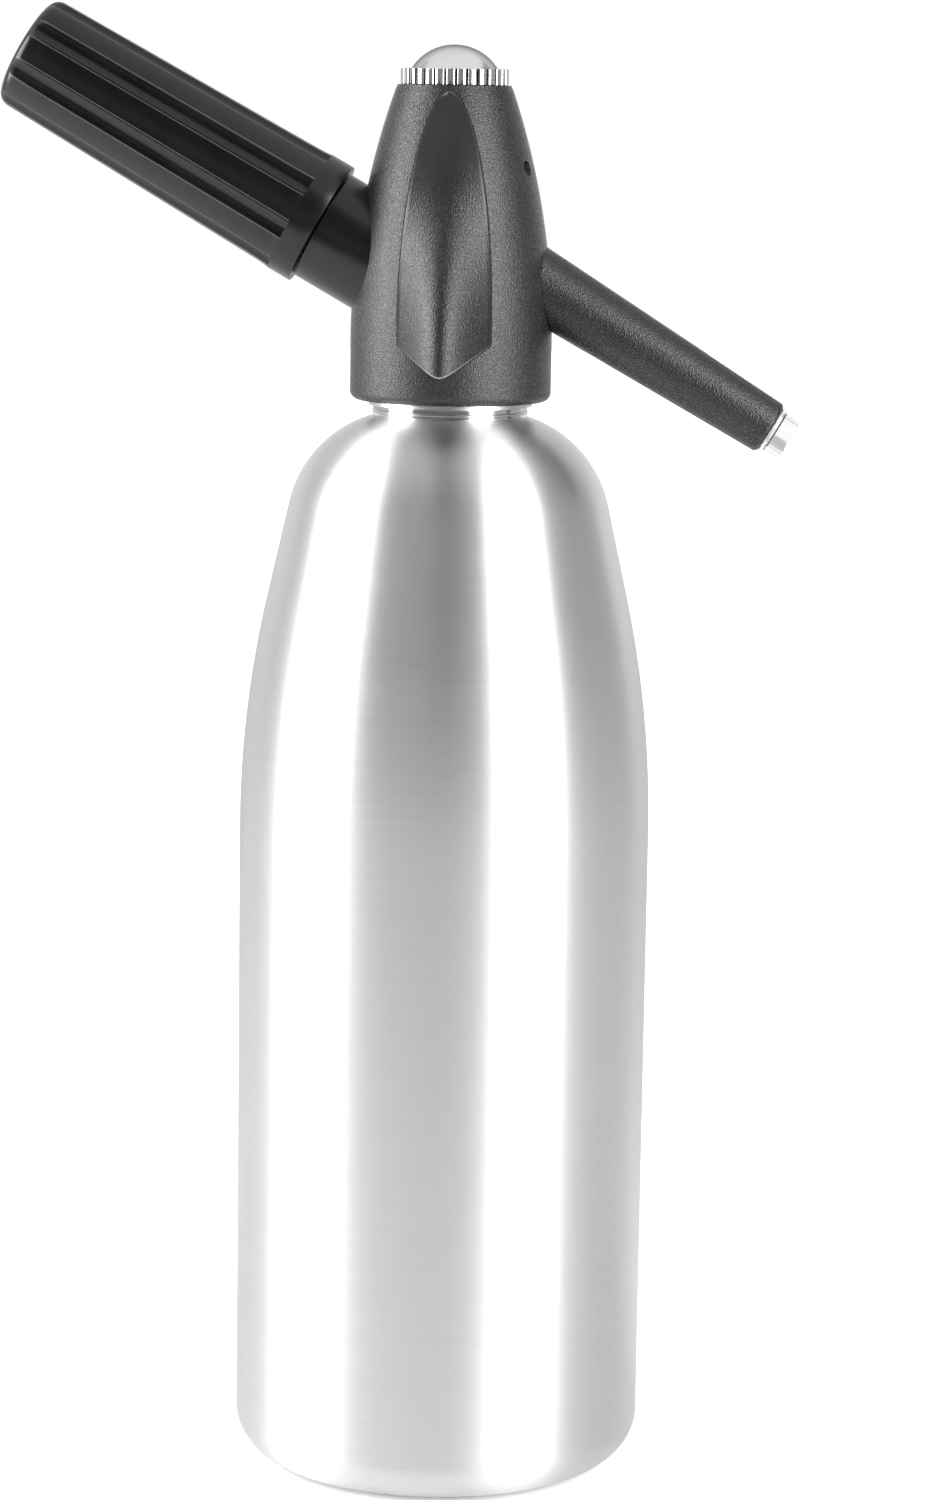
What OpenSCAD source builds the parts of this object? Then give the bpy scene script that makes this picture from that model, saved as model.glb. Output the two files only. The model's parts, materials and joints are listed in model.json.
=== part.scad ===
// Soda siphon: an aluminium bottle with a screw-on dispensing head.
// The base is centred on the origin and +Z is up. The spout points to +X, the
// charger holder to -X, and the front grip wing to -Y. All sizes are millimetres.

/* [Bottle] */
// Outer diameter of the bottle
bottle_d = 95; // [92:1:98]
// Thickness of the bottle's wall
bottle_wall = 1.5; // [1.2:0.1:2]
// Height of the straight part of the wall
wall_h = 149; // [140:1:155]
// Radius of the long lean above the straight wall
lean_r = 246.5; // [230:0.5:260]
// Steepest lean of the wall from upright, in degrees
lean_a = 12.7; // [12:0.1:13.5]
// Height of the conical stretch under the shoulder
cone_h = 21.6; // [18:0.1:25]
// Radius of the shoulder
shoulder_r = 27; // [26:0.1:28]
// Radius of the rounded edge of the base
base_edge_r = 10; // [8:0.5:12]
// Width of the flat ring that the bottle stands on
foot_w = 4; // [3:0.5:6]
// Height of the dome pressed up into the base
base_rise = 7; // [5:0.5:9]
// Outer diameter of the neck
neck_d = 35.2; // [34.6:0.1:35.6]
// Height of the neck above the shoulder
neck_h = 17.4; // [16:0.1:19]
// Bore of the neck
neck_bore_d = 27; // [26.6:0.1:27.4]
// Radius where the shoulder turns up into the neck
neck_fillet = 1.2; // [0.8:0.1:1.6]
// Diameter of the recess in the mouth that takes the measuring tube's flange
mouth_d = 29.4; // [29:0.1:30]
// Depth of that recess
mouth_depth = 5; // [4:0.5:6]

/* [Tubes in the bottle] */
// Outer diameter of the measuring tube
measure_d = 25.2; // [24:0.1:25.6]
// Wall of the measuring tube
measure_wall = 1.2; // [0.8:0.1:1.6]
// Length of the measuring tube under its flange
measure_len = 104; // [90:1:120]
// Thickness of the measuring tube's flange
measure_flange = 2; // [1.5:0.1:3]
// Width of the two windows that a puller hooks into
window_w = 7; // [5:0.5:9]
// Height of those windows
window_h = 5; // [4:0.5:7]
// Outer diameter of the dip tube
dip_d = 8; // [7.6:0.1:8.2]
// Bore of the dip tube
dip_bore = 5.8; // [5:0.1:6.2]
// Gap between the dip tube's lower end and the floor of the bottle
dip_gap = 3; // [2:0.5:8]

/* [Head cover] */
// Outer diameter of the cover at its foot
shell_d = 45.9; // [45.4:0.1:46.6]
// Height of the cover
shell_h = 71; // [70:0.5:73]
// Depth by which the cover reaches down over the neck
shell_drop = 13.5; // [12.5:0.5:14]
// Height of the cover's straight foot
shell_foot_h = 13.5; // [11:0.5:15]
// Wall of the cover round the ring's thread, at the top of the bullet shape
collar_wall = 1.3; // [1:0.1:1.6]
// Wall of the cover
shell_wall = 2.4; // [2:0.1:2.6]
// Radius of the cover's lower edge
shell_edge_r = 2; // [1:0.5:2.4]
// Diameter of the vent hole
vent_d = 3.2; // [2.4:0.1:3.6]

/* [Grip wings] */
// Half the width of a wing where it is widest
wing_half_w = 10.4; // [9:0.1:11]
// Height of a wing's lower tip above the cover's foot
wing_tip_h = 7; // [5:0.5:9]
// Height of the corners of the lower V above its tip
wing_v_h = 6.8; // [5:0.1:8]
// Height of the widest place above the cover's foot
wing_wide_h = 19.5; // [17:0.5:22]
// Distance from the wing's upper end to the top of the cover
wing_end_gap = 1.5; // [1:0.1:3]
// How far the crest stands out at the lower tip
wing_crest = 9.5; // [7:0.1:11]
// How far the wing's rim stands out of the cover
wing_rim = 0.6; // [0.4:0.1:1]
// Height above the cover's foot where the crest has faded away
wing_fade_h = 45.5; // [42:0.5:50]

/* [Button] */
// Outer diameter of the knurled ring
ring_d = 24.4; // [23.8:0.1:25]
// Height of the knurled ring
ring_h = 3.6; // [3:0.1:4.5]
// Number of teeth on the ring
ring_teeth = 30; // [24:1:36]
// Depth of the notches between the teeth
ring_notch = 0.5; // [0.3:0.1:0.7]
// Diameter of the thread under the ring
ring_thread_d = 23.2; // [22.8:0.1:23.4]
// Length of the thread under the ring
ring_thread_h = 4.3; // [3:0.1:5]
// Diameter of the button
button_d = 20.4; // [19.8:0.1:20.6]
// Radius of the button's dome
dome_r = 11.6; // [11.2:0.1:14]
// Height of the dome above the ring
dome_h = 5.4; // [5.2:0.1:6]
// Wall of the dome
dome_wall = 1; // [0.8:0.1:1.2]
// Travel of the button
press_travel = 4; // [3:0.5:4]
// Diameter of the plunger's stop flange
stop_d = 22.4; // [22:0.1:22.6]
// Thickness of the stop flange
stop_t = 2; // [1.5:0.1:2.5]
// Thickness of the plunger under the dome
plunger_roof = 2; // [1.5:0.1:2.5]
// Bore of the plunger round the spring
plunger_bore = 15.6; // [15:0.1:16.4]
// Diameter of the boss that grips the stem
stem_boss_d = 6.4; // [6:0.1:7]
// Mean diameter of the return spring
spring_mean_d = 12; // [11:0.1:12.4]
// Wire of the return spring
spring_wire = 1.1; // [0.9:0.1:1.2]
// Turns of the return spring
spring_turns = 6; // [5:1:6]

/* [Dispensing valve] */
// Diameter of the valve stem
stem_d = 4; // [3.6:0.1:4.2]
// Diameter of the chamber under the seat
inlet_d = 11; // [10.6:0.1:11.4]
// Height of the seat's top above the base plate
seat_h = 11.5; // [11:0.1:11.8]
// Thickness of the seat
seat_t = 2.5; // [2:0.1:3]
// Bore of the seat
seat_bore = 6.4; // [6:0.1:7]
// Diameter of the chamber above the seat
outlet_d = 8; // [7.8:0.1:8.4]
// Diameter of the poppet
poppet_d = 9.2; // [8.8:0.1:9.4]
// Thickness of the poppet
poppet_t = 2.5; // [2:0.1:2.7]
// Thickness of the rubber washer
washer_t = 1.5; // [1:0.1:1.6]
// Height of the stem guide inside the column
guide_h = 12; // [10:0.5:13]
// Diameter of the stem guide's flange
guide_flange_d = 13.6; // [13.2:0.1:14]
// Thickness of the stem guide's flange
guide_flange_t = 1.5; // [1.2:0.1:1.8]
// Outer diameter of the stem seal
stem_seal_d = 6.8; // [6.4:0.1:7]
// Height of the stem seal
stem_seal_h = 2; // [1.6:0.1:2.4]

/* [Valve body] */
// Thickness of the head gasket
gasket_t = 2; // [1.5:0.1:2.5]
// Thickness of the base plate
plate_t = 4; // [3.5:0.1:4.5]
// Wall of the threaded skirt round the bottle's neck
skirt_wall = 2.32; // [2.2:0.02:2.4]
// Wall of the lip that shows under the cover
lip_wall = 1.02; // [0.8:0.02:1.2]
// How far that lip stands out under the cover
lip_h = 1.1; // [0.6:0.1:1.4]
// Diameter of the lower column
column_d = 22; // [21:0.1:22.4]
// Height of the lower column above the seat
column_h = 3.5; // [3:0.1:4]
// Diameter of the upper column
upper_d = 14.4; // [14:0.1:14.4]
// Height of the upper column above the seat
upper_h = 23.5; // [23:0.1:24]
// Distance from the main axis to the end of the boss that the spout screws into
boss_end = 17; // [16.6:0.1:17.2]
// Bore of the gas and relief ducts
gas_bore = 2.4; // [1.8:0.1:2.6]
// Outer diameter of the dip tube seal
dip_seal_d = 12; // [11.6:0.1:12.4]

/* [Relief valve] */
// Distance of the relief valve from the main axis
relief_reach = 10.2; // [10:0.1:10.4]
// Angle of the relief valve from the spout, in degrees
relief_a = 38.5; // [37:0.5:40]
// Bore of the relief duct
relief_duct = 1.8; // [1.4:0.1:2]
// Bore of the relief valve's chamber
relief_bore = 5.6; // [5.4:0.1:5.8]
// Outer diameter of the relief valve's boss
relief_boss_d = 8; // [7.8:0.1:8.4]
// Height of the relief seat above the main seat
relief_seat_h = 12.5; // [11:0.5:13]
// Thickness of the relief poppet's head
relief_head_t = 1.2; // [1:0.1:1.6]
// Lift of the relief poppet
relief_lift = 1.2; // [0.8:0.1:1.4]
// Wire of the relief spring
relief_wire = 0.6; // [0.5:0.1:0.7]
// Turns of the relief spring
relief_turns = 5; // [4:1:5]
// Height of the relief cap
relief_cap_h = 3.2; // [3:0.1:3.6]
// How far the relief cap stands out of its boss
relief_cap_out = 1.4; // [1.2:0.1:1.8]
// Height of the vent above the main seat
vent_h = 21.8; // [21:0.1:22]

/* [Charger side] */
// Angle of the charger holder above the horizontal, in degrees
holder_a = 29.5; // [29:0.1:30]
// Height of the point where the holder's axis meets the main axis, above the mouth
holder_cross = 8.9; // [8.5:0.1:9.5]
// Outer diameter of the socket
socket_d = 26; // [25.6:0.1:26.4]
// Distance from the main axis to the socket's inner end
socket_in = 16; // [15.8:0.1:16.4]
// Distance from the main axis to the socket's outer face
socket_out = 34; // [33.5:0.1:35]
// Diameter of the thread for the holder
stub_d = 22; // [21.6:0.1:22.4]
// Length of that thread
stub_len = 16; // [15:0.5:17]
// Diameter of the spigot that the socket screws in with
spigot_d = 10; // [9.6:0.1:10.4]
// Length of that spigot
spigot_len = 5; // [4.5:0.1:5.5]
// Bore of the check valve's chamber
chamber_d = 8.2; // [8:0.1:8.6]
// Diameter of the recess for the charger's neck
recess_d = 9.7; // [9.4:0.1:10]
// Depth of the recess from the pin's flange to the socket's mouth
recess_depth = 12; // [11:0.5:12.5]
// Thickness of the piercing pin's flange
pin_flange = 4; // [3:0.1:4.5]
// Diameter of the piercing pin
pin_d = 2.2; // [2:0.1:2.4]
// How far the pin stands out of its flange
pin_len = 5; // [4.5:0.1:5.5]
// Diameter of the check valve's nipple
nipple_d = 4; // [3.6:0.1:4.4]
// Length of the nipple
nipple_len = 7; // [6:0.1:7.5]
// Wall of the check valve's sleeve
sleeve_wall = 1; // [0.8:0.1:1.2]
// Thickness of the filter
filter_t = 2; // [1.5:0.1:2.5]
// Depth of the filter behind the socket's inner end
filter_depth = 8; // [7.5:0.1:8.5]
// Thickness of the charger's seal
seal_t = 2; // [1.5:0.1:2.5]

/* [Charger and holder] */
// Diameter of the charger
charger_d = 18.4; // [17.8:0.1:18.6]
// Length of the charger
charger_len = 65.5; // [64:0.5:66]
// Diameter of the charger's neck
charger_neck_d = 8.6; // [8.2:0.1:8.8]
// Length of the charger's neck
charger_neck_len = 8; // [7:0.5:9]
// Wall of the charger
charger_wall = 1.6; // [1.2:0.1:2]
// Outer diameter of the holder at its rim
holder_rim_d = 29.4; // [29:0.1:30]
// Outer diameter of the holder at its closed end
holder_end_d = 26.5; // [26:0.1:27]
// Length of the plain collar at the rim
holder_collar = 5.6; // [5:0.1:8]
// Step from the collar down to the fluted part
holder_step = 0.25; // [0.1:0.05:0.4]
// Thickness of the holder's closed end
holder_cap = 2.4; // [2:0.1:3]
// Length of the bevel round the closed end
holder_bevel = 1.4; // [1:0.1:2]
// Number of flutes
flutes = 8; // [6:1:10]
// Turn of the first flute's middle from the top of the holder, in degrees
flute_turn = 28; // [0:0.5:45]
// Radius of a flute
flute_r = 3.4; // [3:0.1:4]
// Depth of a flute
flute_depth = 1.15; // [0.8:0.05:1.4]

/* [Spout] */
// Angle of the spout below the horizontal, in degrees
spout_a = 30.8; // [30:0.1:31.5]
// Height of the point where the spout's axis meets the main axis, above the mouth
spout_cross = 25; // [24.6:0.1:25.4]
// Distance from the main axis to the spout's end
spout_len = 85.3; // [80:0.5:90]
// Distance from the main axis to the shoulder at the spout's root
spout_start = 18.5; // [18:0.1:19]
// Diameter of the spout at the head
spout_root_d = 16.2; // [15.8:0.1:16.6]
// Diameter of the spout at its end
spout_end_d = 12.4; // [12:0.1:13]
// Radius of the spout's end
spout_edge_r = 1.2; // [0.8:0.1:1.4]
// Outer diameter of the soda duct
duct_d = 8; // [7.6:0.1:8.2]
// Bore of the soda duct
duct_bore = 5.6; // [5:0.1:5.8]
// How far the soda duct reaches into the nozzle
duct_in = 2; // [1.5:0.1:3]
// Diameter of the spigot that the spout screws in with
spout_spigot_d = 10.8; // [10.6:0.1:11]
// Length of that spigot with its seal
spout_spigot_len = 6; // [5:0.5:6.5]
// Thickness of the seal under that spigot
duct_seal_t = 1.6; // [1.2:0.1:2]
// Diameter of the nozzle inside the spout
nozzle_d = 9.8; // [9.6:0.1:10]
// Length of the nozzle inside the spout
nozzle_in = 9; // [8:0.5:10]
// Length of the nozzle outside the spout
nozzle_out = 5; // [4:0.5:7]
// Diameter of the nozzle's tip
nozzle_tip_d = 9.4; // [9:0.1:9.8]
// Diameter of the nozzle's flange
nozzle_flange_d = 11; // [10.4:0.1:11.6]
// Bore of the nozzle
nozzle_bore = 6.4; // [6:0.1:6.8]

/* [Clearances] */
// Clearance between pieces fixed to each other
fit = 0.05; // [0.03:0.01:0.08]
// Clearance round a sliding or turning piece
run = 0.08; // [0.05:0.01:0.1]
// Gap at a face that closes on another piece
face_gap = 0.05; // [0.02:0.01:0.1]
// Visible gap between the holder's rim and the socket
rim_gap = 0.3; // [0.2:0.05:0.5]

/* [Hidden] */
$fn = 64;
// Small overlap that makes cuts run past their faces
past = 0.5;

// Bottle: centres and ends of the lean, the cone and the shoulder
bottle_r = bottle_d / 2;
neck_r = neck_d / 2;
lean_end_r = bottle_r - lean_r * (1 - cos(lean_a));
lean_end_z = wall_h + lean_r * sin(lean_a);
cone_end_r = lean_end_r - cone_h * tan(lean_a);
cone_end_z = lean_end_z + cone_h;
shoulder_cx = cone_end_r - shoulder_r * cos(lean_a);
shoulder_cz = cone_end_z - shoulder_r * sin(lean_a);
root_r = (neck_r + neck_fillet + neck_fillet * shoulder_cx / shoulder_r)
    / (1 + neck_fillet / shoulder_r);
root_a = acos((root_r - shoulder_cx) / shoulder_r);
root_z = shoulder_cz + shoulder_r * sin(root_a);
foot_in_r = bottle_r - base_edge_r - foot_w;
dome_base_r = (pow(foot_in_r, 2) + pow(base_rise, 2)) / (2 * base_rise);
floor_z = base_rise + bottle_wall;

// The skirt and its lip are sized from the neck that they go over
plate_d = neck_d + 2 * (run + skirt_wall);
lip_d = neck_d + 2 * (run + lip_wall);
// The cover's bore takes the plate, and its lower edge is rounded within its wall there
seat_r = plate_d / 2 + fit;
foot_edge_r = min(shell_edge_r, 0.7 * (shell_d / 2 - seat_r));

// Heights up the main axis
mouth_z = root_z + neck_h;
ledge_z = mouth_z - mouth_depth;
under_z = mouth_z + gasket_t;
plate_z = under_z + plate_t;
seat_z = plate_z + seat_h;
seat_low_z = seat_z - seat_t;
washer_z = seat_low_z - face_gap;
poppet_z = washer_z - washer_t;
column_z = seat_z + column_h;
upper_z = seat_z + upper_h;
spring_z = upper_z + guide_flange_t;
shell_low_z = mouth_z - shell_drop;
shell_top_z = shell_low_z + shell_h;
shell_top_r = ring_thread_d / 2 + fit + collar_wall;
shell_arc_r = (pow(shell_h - shell_foot_h, 2) + pow(shell_d / 2 - shell_top_r, 2))
    / (shell_d - 2 * shell_top_r);
ring_low_z = shell_top_z - ring_thread_h;
ring_top_z = shell_top_z + ring_h;
dome_top_z = ring_top_z + dome_h;
dome_cz = dome_top_z - dome_r;
stop_top_z = ring_low_z - 2 * face_gap;
stop_low_z = stop_top_z - stop_t;
dome_low_z = stop_top_z + face_gap;
dome_in_z = dome_cz + sqrt(pow(dome_r - dome_wall, 2) - pow(button_d / 2 - dome_wall, 2));
roof_z = dome_in_z - face_gap;
roof_low_z = roof_z - plunger_roof;
// The boss meets the stem guide at full travel, which stops the button
boss_low_z = spring_z + press_travel + 2 * face_gap;

// Distances along the charger's axis
spigot_start = socket_in - spigot_len;
filter_in = socket_in + filter_depth;
seat_s = socket_out + stub_len - recess_depth;
pin_face = seat_s + pin_flange;
seal_end = pin_face + seal_t;
charger_tip = seal_end + face_gap;
charger_end = charger_tip + charger_len;
holder_rim = socket_out + rim_gap;
holder_floor = charger_end + 2 * run;
holder_end = holder_floor + holder_cap;
flute_start = holder_rim + holder_collar;
flute_top_r = holder_rim_d / 2 - holder_step;
flute_end_r = holder_end_d / 2;
flute_lean = atan((flute_top_r - flute_end_r) / (holder_end - flute_start));

// Distances along the spout's axis
spout_spigot_start = boss_end - spout_spigot_len;
duct_start = spout_spigot_start + duct_seal_t;
nozzle_start = spout_len - nozzle_in;
duct_end = nozzle_start + duct_in;

// Relief valve
relief_x = relief_reach * cos(relief_a);
relief_y = -relief_reach * sin(relief_a);
relief_seat_z = seat_z + relief_seat_h;
relief_head_z = relief_seat_z + face_gap + relief_head_t;
relief_cap_z = upper_z + guide_flange_t + relief_cap_out - relief_cap_h;

// Points of an arc about a centre, from one angle to another
function arc(cx, cy, r, from, to, steps) =
    [for (i = [0 : steps]) let (a = from + (to - from) * i / steps)
        [cx + r * cos(a), cy + r * sin(a)]];

// Outer radius of the cover at a height
function shell_r(z) = let (up = max(0, z - shell_low_z - shell_foot_h))
    shell_d / 2 - shell_arc_r + sqrt(pow(shell_arc_r, 2) - up * up);

// Inner radius of the cover at a height: its wall, or the bore that takes the plate
function shell_in_r(z) = max(shell_r(z) - shell_wall, z < plate_z + 3 ? seat_r : 0);

// Put children on the charger's axis, with their +Z pointing out along it
module on_charger() {
    translate([0, 0, mouth_z + holder_cross]) rotate([0, holder_a - 90, 0]) children();
}

// Put children on the spout's axis, with their +Z pointing out along it
module on_spout() {
    translate([0, 0, mouth_z + spout_cross]) rotate([0, 90 + spout_a, 0]) children();
}

// A ring or tube that stands on its start height
module tube(outer_d, inner_d, start, end) {
    translate([0, 0, start]) difference() {
        cylinder(d = outer_d, h = end - start);
        translate([0, 0, -past]) cylinder(d = inner_d, h = end - start + 2 * past);
    }
}

// A plain cylinder between two distances
module rod(d, start, end) {
    translate([0, 0, start]) cylinder(d = d, h = end - start);
}

// Centre line of a coil spring with its lower end at zero
function coil_points(mean_d, wire, height, turns, per_turn) =
    [for (i = [0 : turns * per_turn]) let (a = 360 * i / per_turn)
        [mean_d / 2 * cos(a), mean_d / 2 * sin(a),
            wire / 2 + (height - wire) * i / (turns * per_turn)]];

// Least gap between neighbouring turns, measured on the centre line's points
function coil_gap(points, wire, per_turn) =
    min([for (i = [0 : len(points) - per_turn - 1])
        norm(points[i + per_turn] - points[i]) - wire]);

// A coil spring as one unbroken six-sided tube
module coil(mean_d, wire, height, turns, name) {
    per_turn = 8;
    sides = 6;
    line = coil_points(mean_d, wire, height, turns, per_turn);
    rings = len(line);
    echo(str("least gap in ", name, ": ", coil_gap(line, wire, per_turn)));
    skin = [for (i = [0 : rings - 1]) for (j = [0 : sides - 1])
        let (a = 360 * i / per_turn, out = [cos(a), sin(a), 0], b = 360 * j / sides)
            line[i] + wire / 2 * (cos(b) * out + sin(b) * [0, 0, 1])];
    walls = [for (i = [0 : rings - 2]) for (j = [0 : sides - 1])
        let (k = (j + 1) % sides, a = i * sides + j, b = i * sides + k)
            each [[a, a + sides, b], [b, a + sides, b + sides]]];
    last = (rings - 1) * sides;
    ends = [for (j = [1 : sides - 2]) each [[0, j, j + 1], [last, last + j + 1, last + j]]];
    polyhedron(skin, concat(walls, ends));
}

module bottle() {
    w = bottle_wall;
    outside = concat(
        arc(bottle_r - base_edge_r, base_edge_r, base_edge_r, 270, 360, 8),
        arc(bottle_r - lean_r, wall_h, lean_r, 0, lean_a, 6),
        arc(shoulder_cx, shoulder_cz, shoulder_r, lean_a, root_a, 10),
        arc(neck_r + neck_fillet, root_z + neck_fillet * sin(root_a), neck_fillet,
            180 + root_a, 180, 4),
        [[neck_r, mouth_z - 0.5], [neck_r - 0.5, mouth_z]]);
    in_top_z = shoulder_cz + sqrt(pow(shoulder_r - w, 2)
        - pow(neck_bore_d / 2 - shoulder_cx, 2));
    in_top_a = asin((in_top_z - shoulder_cz) / (shoulder_r - w));
    inside = concat(
        [[mouth_d / 2, mouth_z], [mouth_d / 2, ledge_z], [neck_bore_d / 2, ledge_z]],
        arc(shoulder_cx, shoulder_cz, shoulder_r - w, in_top_a, lean_a, 10),
        arc(bottle_r - lean_r, wall_h, lean_r - w, lean_a, 0, 6),
        arc(bottle_r - base_edge_r, base_edge_r, base_edge_r - w, 360, 270, 8));
    rise_a = asin(foot_in_r / dome_base_r);
    dome_top = arc(0, base_rise - dome_base_r, dome_base_r + w, 90 - rise_a, 90, 6);
    dome_under = arc(0, base_rise - dome_base_r, dome_base_r, 90, 90 - rise_a, 6);
    color("#c9cbcd") rotate_extrude($fn = 128)
        polygon(concat(outside, inside, dome_top, dome_under));
}

module measuring_tube() {
    top = ledge_z + measure_flange;
    color("#e8e8e2") difference() {
        union() {
            tube(measure_d, measure_d - 2 * measure_wall, ledge_z - measure_len, top);
            tube(mouth_d - 4 * run, measure_d - 2 * measure_wall, ledge_z + face_gap, top);
        }
        translate([-measure_d, -window_w / 2, ledge_z - window_h - measure_flange])
            cube([2 * measure_d, window_w, window_h]);
    }
}

module dip_tube() {
    low = floor_z + dip_gap;
    color("#dfe3e0") difference() {
        tube(dip_d, dip_bore, low, plate_z - face_gap);
        translate([0, 0, low]) rotate([0, 45, 0]) cube([2 * dip_d, 2 * dip_d, dip_d], center = true);
    }
}

module dip_tube_seal() {
    color("#2b2b2b") tube(dip_seal_d, dip_d + 2 * run, under_z, plate_z - 1);
}

// One grip wing at the front: a leaf lofted from its rim on the cover to its crest.
// It is a grid of columns across the leaf and rows up it, closed by a second grid
// inside the cover's wall.
module grip_wing() {
    columns = 12;
    rows = 20;
    tip_z = shell_low_z + wing_tip_h;
    wide_z = shell_low_z + wing_wide_h;
    top_z = shell_top_z - wing_end_gap;
    fade_z = shell_low_z + wing_fade_h;
    leaf_end = top_z + 0.15;
    // The leaf narrows to a soft point, a little more pointed than an ellipse
    function leaf(z) = wing_half_w * pow(1 - pow(max(0, z - wide_z) / (leaf_end - wide_z), 2), 0.56);
    function crest(z) = let (t = min(1, max(0, (z - tip_z) / (fade_z - tip_z))))
        wing_rim + (wing_crest - wing_rim) * (1 - t * t * (3 - 2 * t));
    // A V from 0 in the middle to 1 at the rim, with its point rounded
    function vee(u, round) = (sqrt(u * u + round) - sqrt(round)) / (sqrt(1 + round) - sqrt(round));
    function height(u, v) = let (low = tip_z + wing_v_h * vee(u, 0.03)) low + v * (top_z - low);
    function skin(u, v) = let (z = height(u, v), w = leaf(z), x = u * w, r = shell_r(z),
        rim = sqrt(r * r - w * w) + wing_rim, tip = r + crest(z))
        [x, -(tip + (rim - tip) * vee(u, 0.12)), z];
    function root(u, v) = let (z = height(u, v), x = u * leaf(z), r = (shell_r(z) + shell_in_r(z)) / 2)
        [x, -sqrt(r * r - x * x), z];
    // Columns lie closer together near the crest, which bends most
    grid = [for (i = [0 : rows]) for (j = [0 : columns]) let (t = 2 * j / columns - 1)
        [t * (0.7 + 0.3 * t * t), i / rows]];
    points = concat([for (g = grid) skin(g.x, g.y)], [for (g = grid) root(g.x, g.y)]);
    back = len(grid);
    function at(i, j) = i * (columns + 1) + j;
    front_faces = [for (i = [0 : rows - 1]) for (j = [0 : columns - 1])
        each [[at(i, j), at(i + 1, j), at(i + 1, j + 1)], [at(i, j), at(i + 1, j + 1), at(i, j + 1)]]];
    back_faces = [for (f = front_faces) [f[2] + back, f[1] + back, f[0] + back]];
    rim_line = concat([for (j = [0 : columns]) at(0, j)], [for (i = [1 : rows]) at(i, columns)],
        [for (j = [columns - 1 : -1 : 0]) at(rows, j)], [for (i = [rows - 1 : -1 : 1]) at(i, 0)]);
    rim_faces = [for (i = [0 : len(rim_line) - 1])
        let (a = rim_line[i], b = rim_line[(i + 1) % len(rim_line)])
            each [[a, b, b + back], [a, b + back, a + back]]];
    polyhedron(points, concat(front_faces, back_faces, rim_faces));
}

module head_shell() {
    foot_z = shell_low_z + shell_foot_h;
    step = (shell_top_z - foot_z) / 10;
    rise = [for (i = [0 : 10]) [shell_r(foot_z + i * step), foot_z + i * step]];
    cavity_top = ring_low_z;
    inner_step = (cavity_top - plate_z) / 8;
    inner_rise = [for (i = [8 : -1 : 0]) let (z = plate_z + i * inner_step) [shell_r(z) - shell_wall, z]];
    outline = concat(
        arc(shell_d / 2 - foot_edge_r, shell_low_z + foot_edge_r, foot_edge_r, 270, 360, 5),
        rise,
        [[ring_thread_d / 2 + fit, shell_top_z], [ring_thread_d / 2 + fit, cavity_top]],
        inner_rise,
        [[seat_r, plate_z], [seat_r, shell_low_z]]);
    color("#26272a") difference() {
        union() {
            rotate_extrude($fn = 96) polygon(outline);
            grip_wing();
            rotate([0, 0, 180]) grip_wing();
        }
        on_charger() rod(socket_d + 2 * fit, socket_in - 3, socket_out);
        on_spout() rod(spout_root_d + 2 * fit, spout_start - 3, spout_len / 2);
        translate([relief_x, relief_y, seat_z + vent_h]) rotate([0, 90, 0])
            cylinder(d = vent_d, h = shell_d);
    }
}

// The duct from the socket's bore down through the plate to the bottle
module gas_duct() {
    duct_s = spigot_start - 1.5;
    on_charger() rod(gas_bore, duct_s, spigot_start + past);
    x = -duct_s * cos(holder_a);
    z = mouth_z + holder_cross + duct_s * sin(holder_a);
    translate([x, 0, under_z - past]) cylinder(d = gas_bore, h = z - under_z + past);
}

module valve_body() {
    skirt_r = neck_r + run;
    skirt_low = shell_low_z - lip_h;
    skirt = [[skirt_r, skirt_low], [lip_d / 2, skirt_low], [lip_d / 2, shell_low_z + 1],
        [plate_d / 2, shell_low_z + 1], [plate_d / 2, plate_z], [column_d / 2, plate_z],
        [column_d / 2, column_z], [upper_d / 2, column_z], [upper_d / 2, upper_z],
        [outlet_d / 2, upper_z], [outlet_d / 2, seat_z], [inlet_d / 2, seat_z],
        [inlet_d / 2, plate_z - 1], [dip_seal_d / 2, plate_z - 1], [dip_seal_d / 2, under_z],
        [skirt_r, under_z]];
    color("#b9bcc0") difference() {
        union() {
            rotate_extrude() polygon(skirt);
            difference() {
                union() {
                    on_charger() rod(spigot_d + 4, 5, socket_in);
                    on_spout() rod(spout_spigot_d + 3, 5, boss_end);
                    translate([relief_x, relief_y, plate_z - past])
                        cylinder(d = relief_duct + 3, h = relief_seat_z - plate_z);
                    translate([relief_x, relief_y, relief_seat_z - 3])
                        cylinder(d = relief_boss_d, h = upper_z + guide_flange_t - relief_seat_z + 3);
                }
                translate([0, 0, under_z]) cylinder(d = inlet_d, h = seat_z - under_z);
                translate([0, 0, seat_z - past]) cylinder(d = outlet_d, h = upper_h + 3);
                translate([0, 0, upper_z]) cylinder(d = guide_flange_d + 2 * fit, h = 3);
            }
        }
        on_spout() rod(duct_bore, 0, boss_end);
        on_spout() rod(spout_spigot_d + 2 * fit, spout_spigot_start, boss_end + past);
        on_spout() rod(spout_root_d + 2 * fit, spout_start - face_gap, socket_out);
        on_charger() rod(spigot_d + 2 * fit, spigot_start, socket_in + past);
        on_charger() tube(socket_d + 2 * fit, spigot_d + 5, socket_in, socket_out);
        gas_duct();
        translate([relief_x, relief_y, under_z - past])
            cylinder(d = relief_duct, h = relief_seat_z - under_z + 2 * past);
        translate([relief_x, relief_y, relief_seat_z])
            cylinder(d = relief_bore, h = upper_z + guide_flange_t - relief_seat_z + past);
        translate([relief_x, relief_y, seat_z + vent_h]) rotate([0, 90, 0])
            cylinder(d = gas_bore, h = relief_boss_d);
    }
}

module head_gasket() {
    color("#d8d5c8") tube(neck_d - 2 * fit, mouth_d, mouth_z + face_gap, under_z);
}

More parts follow.
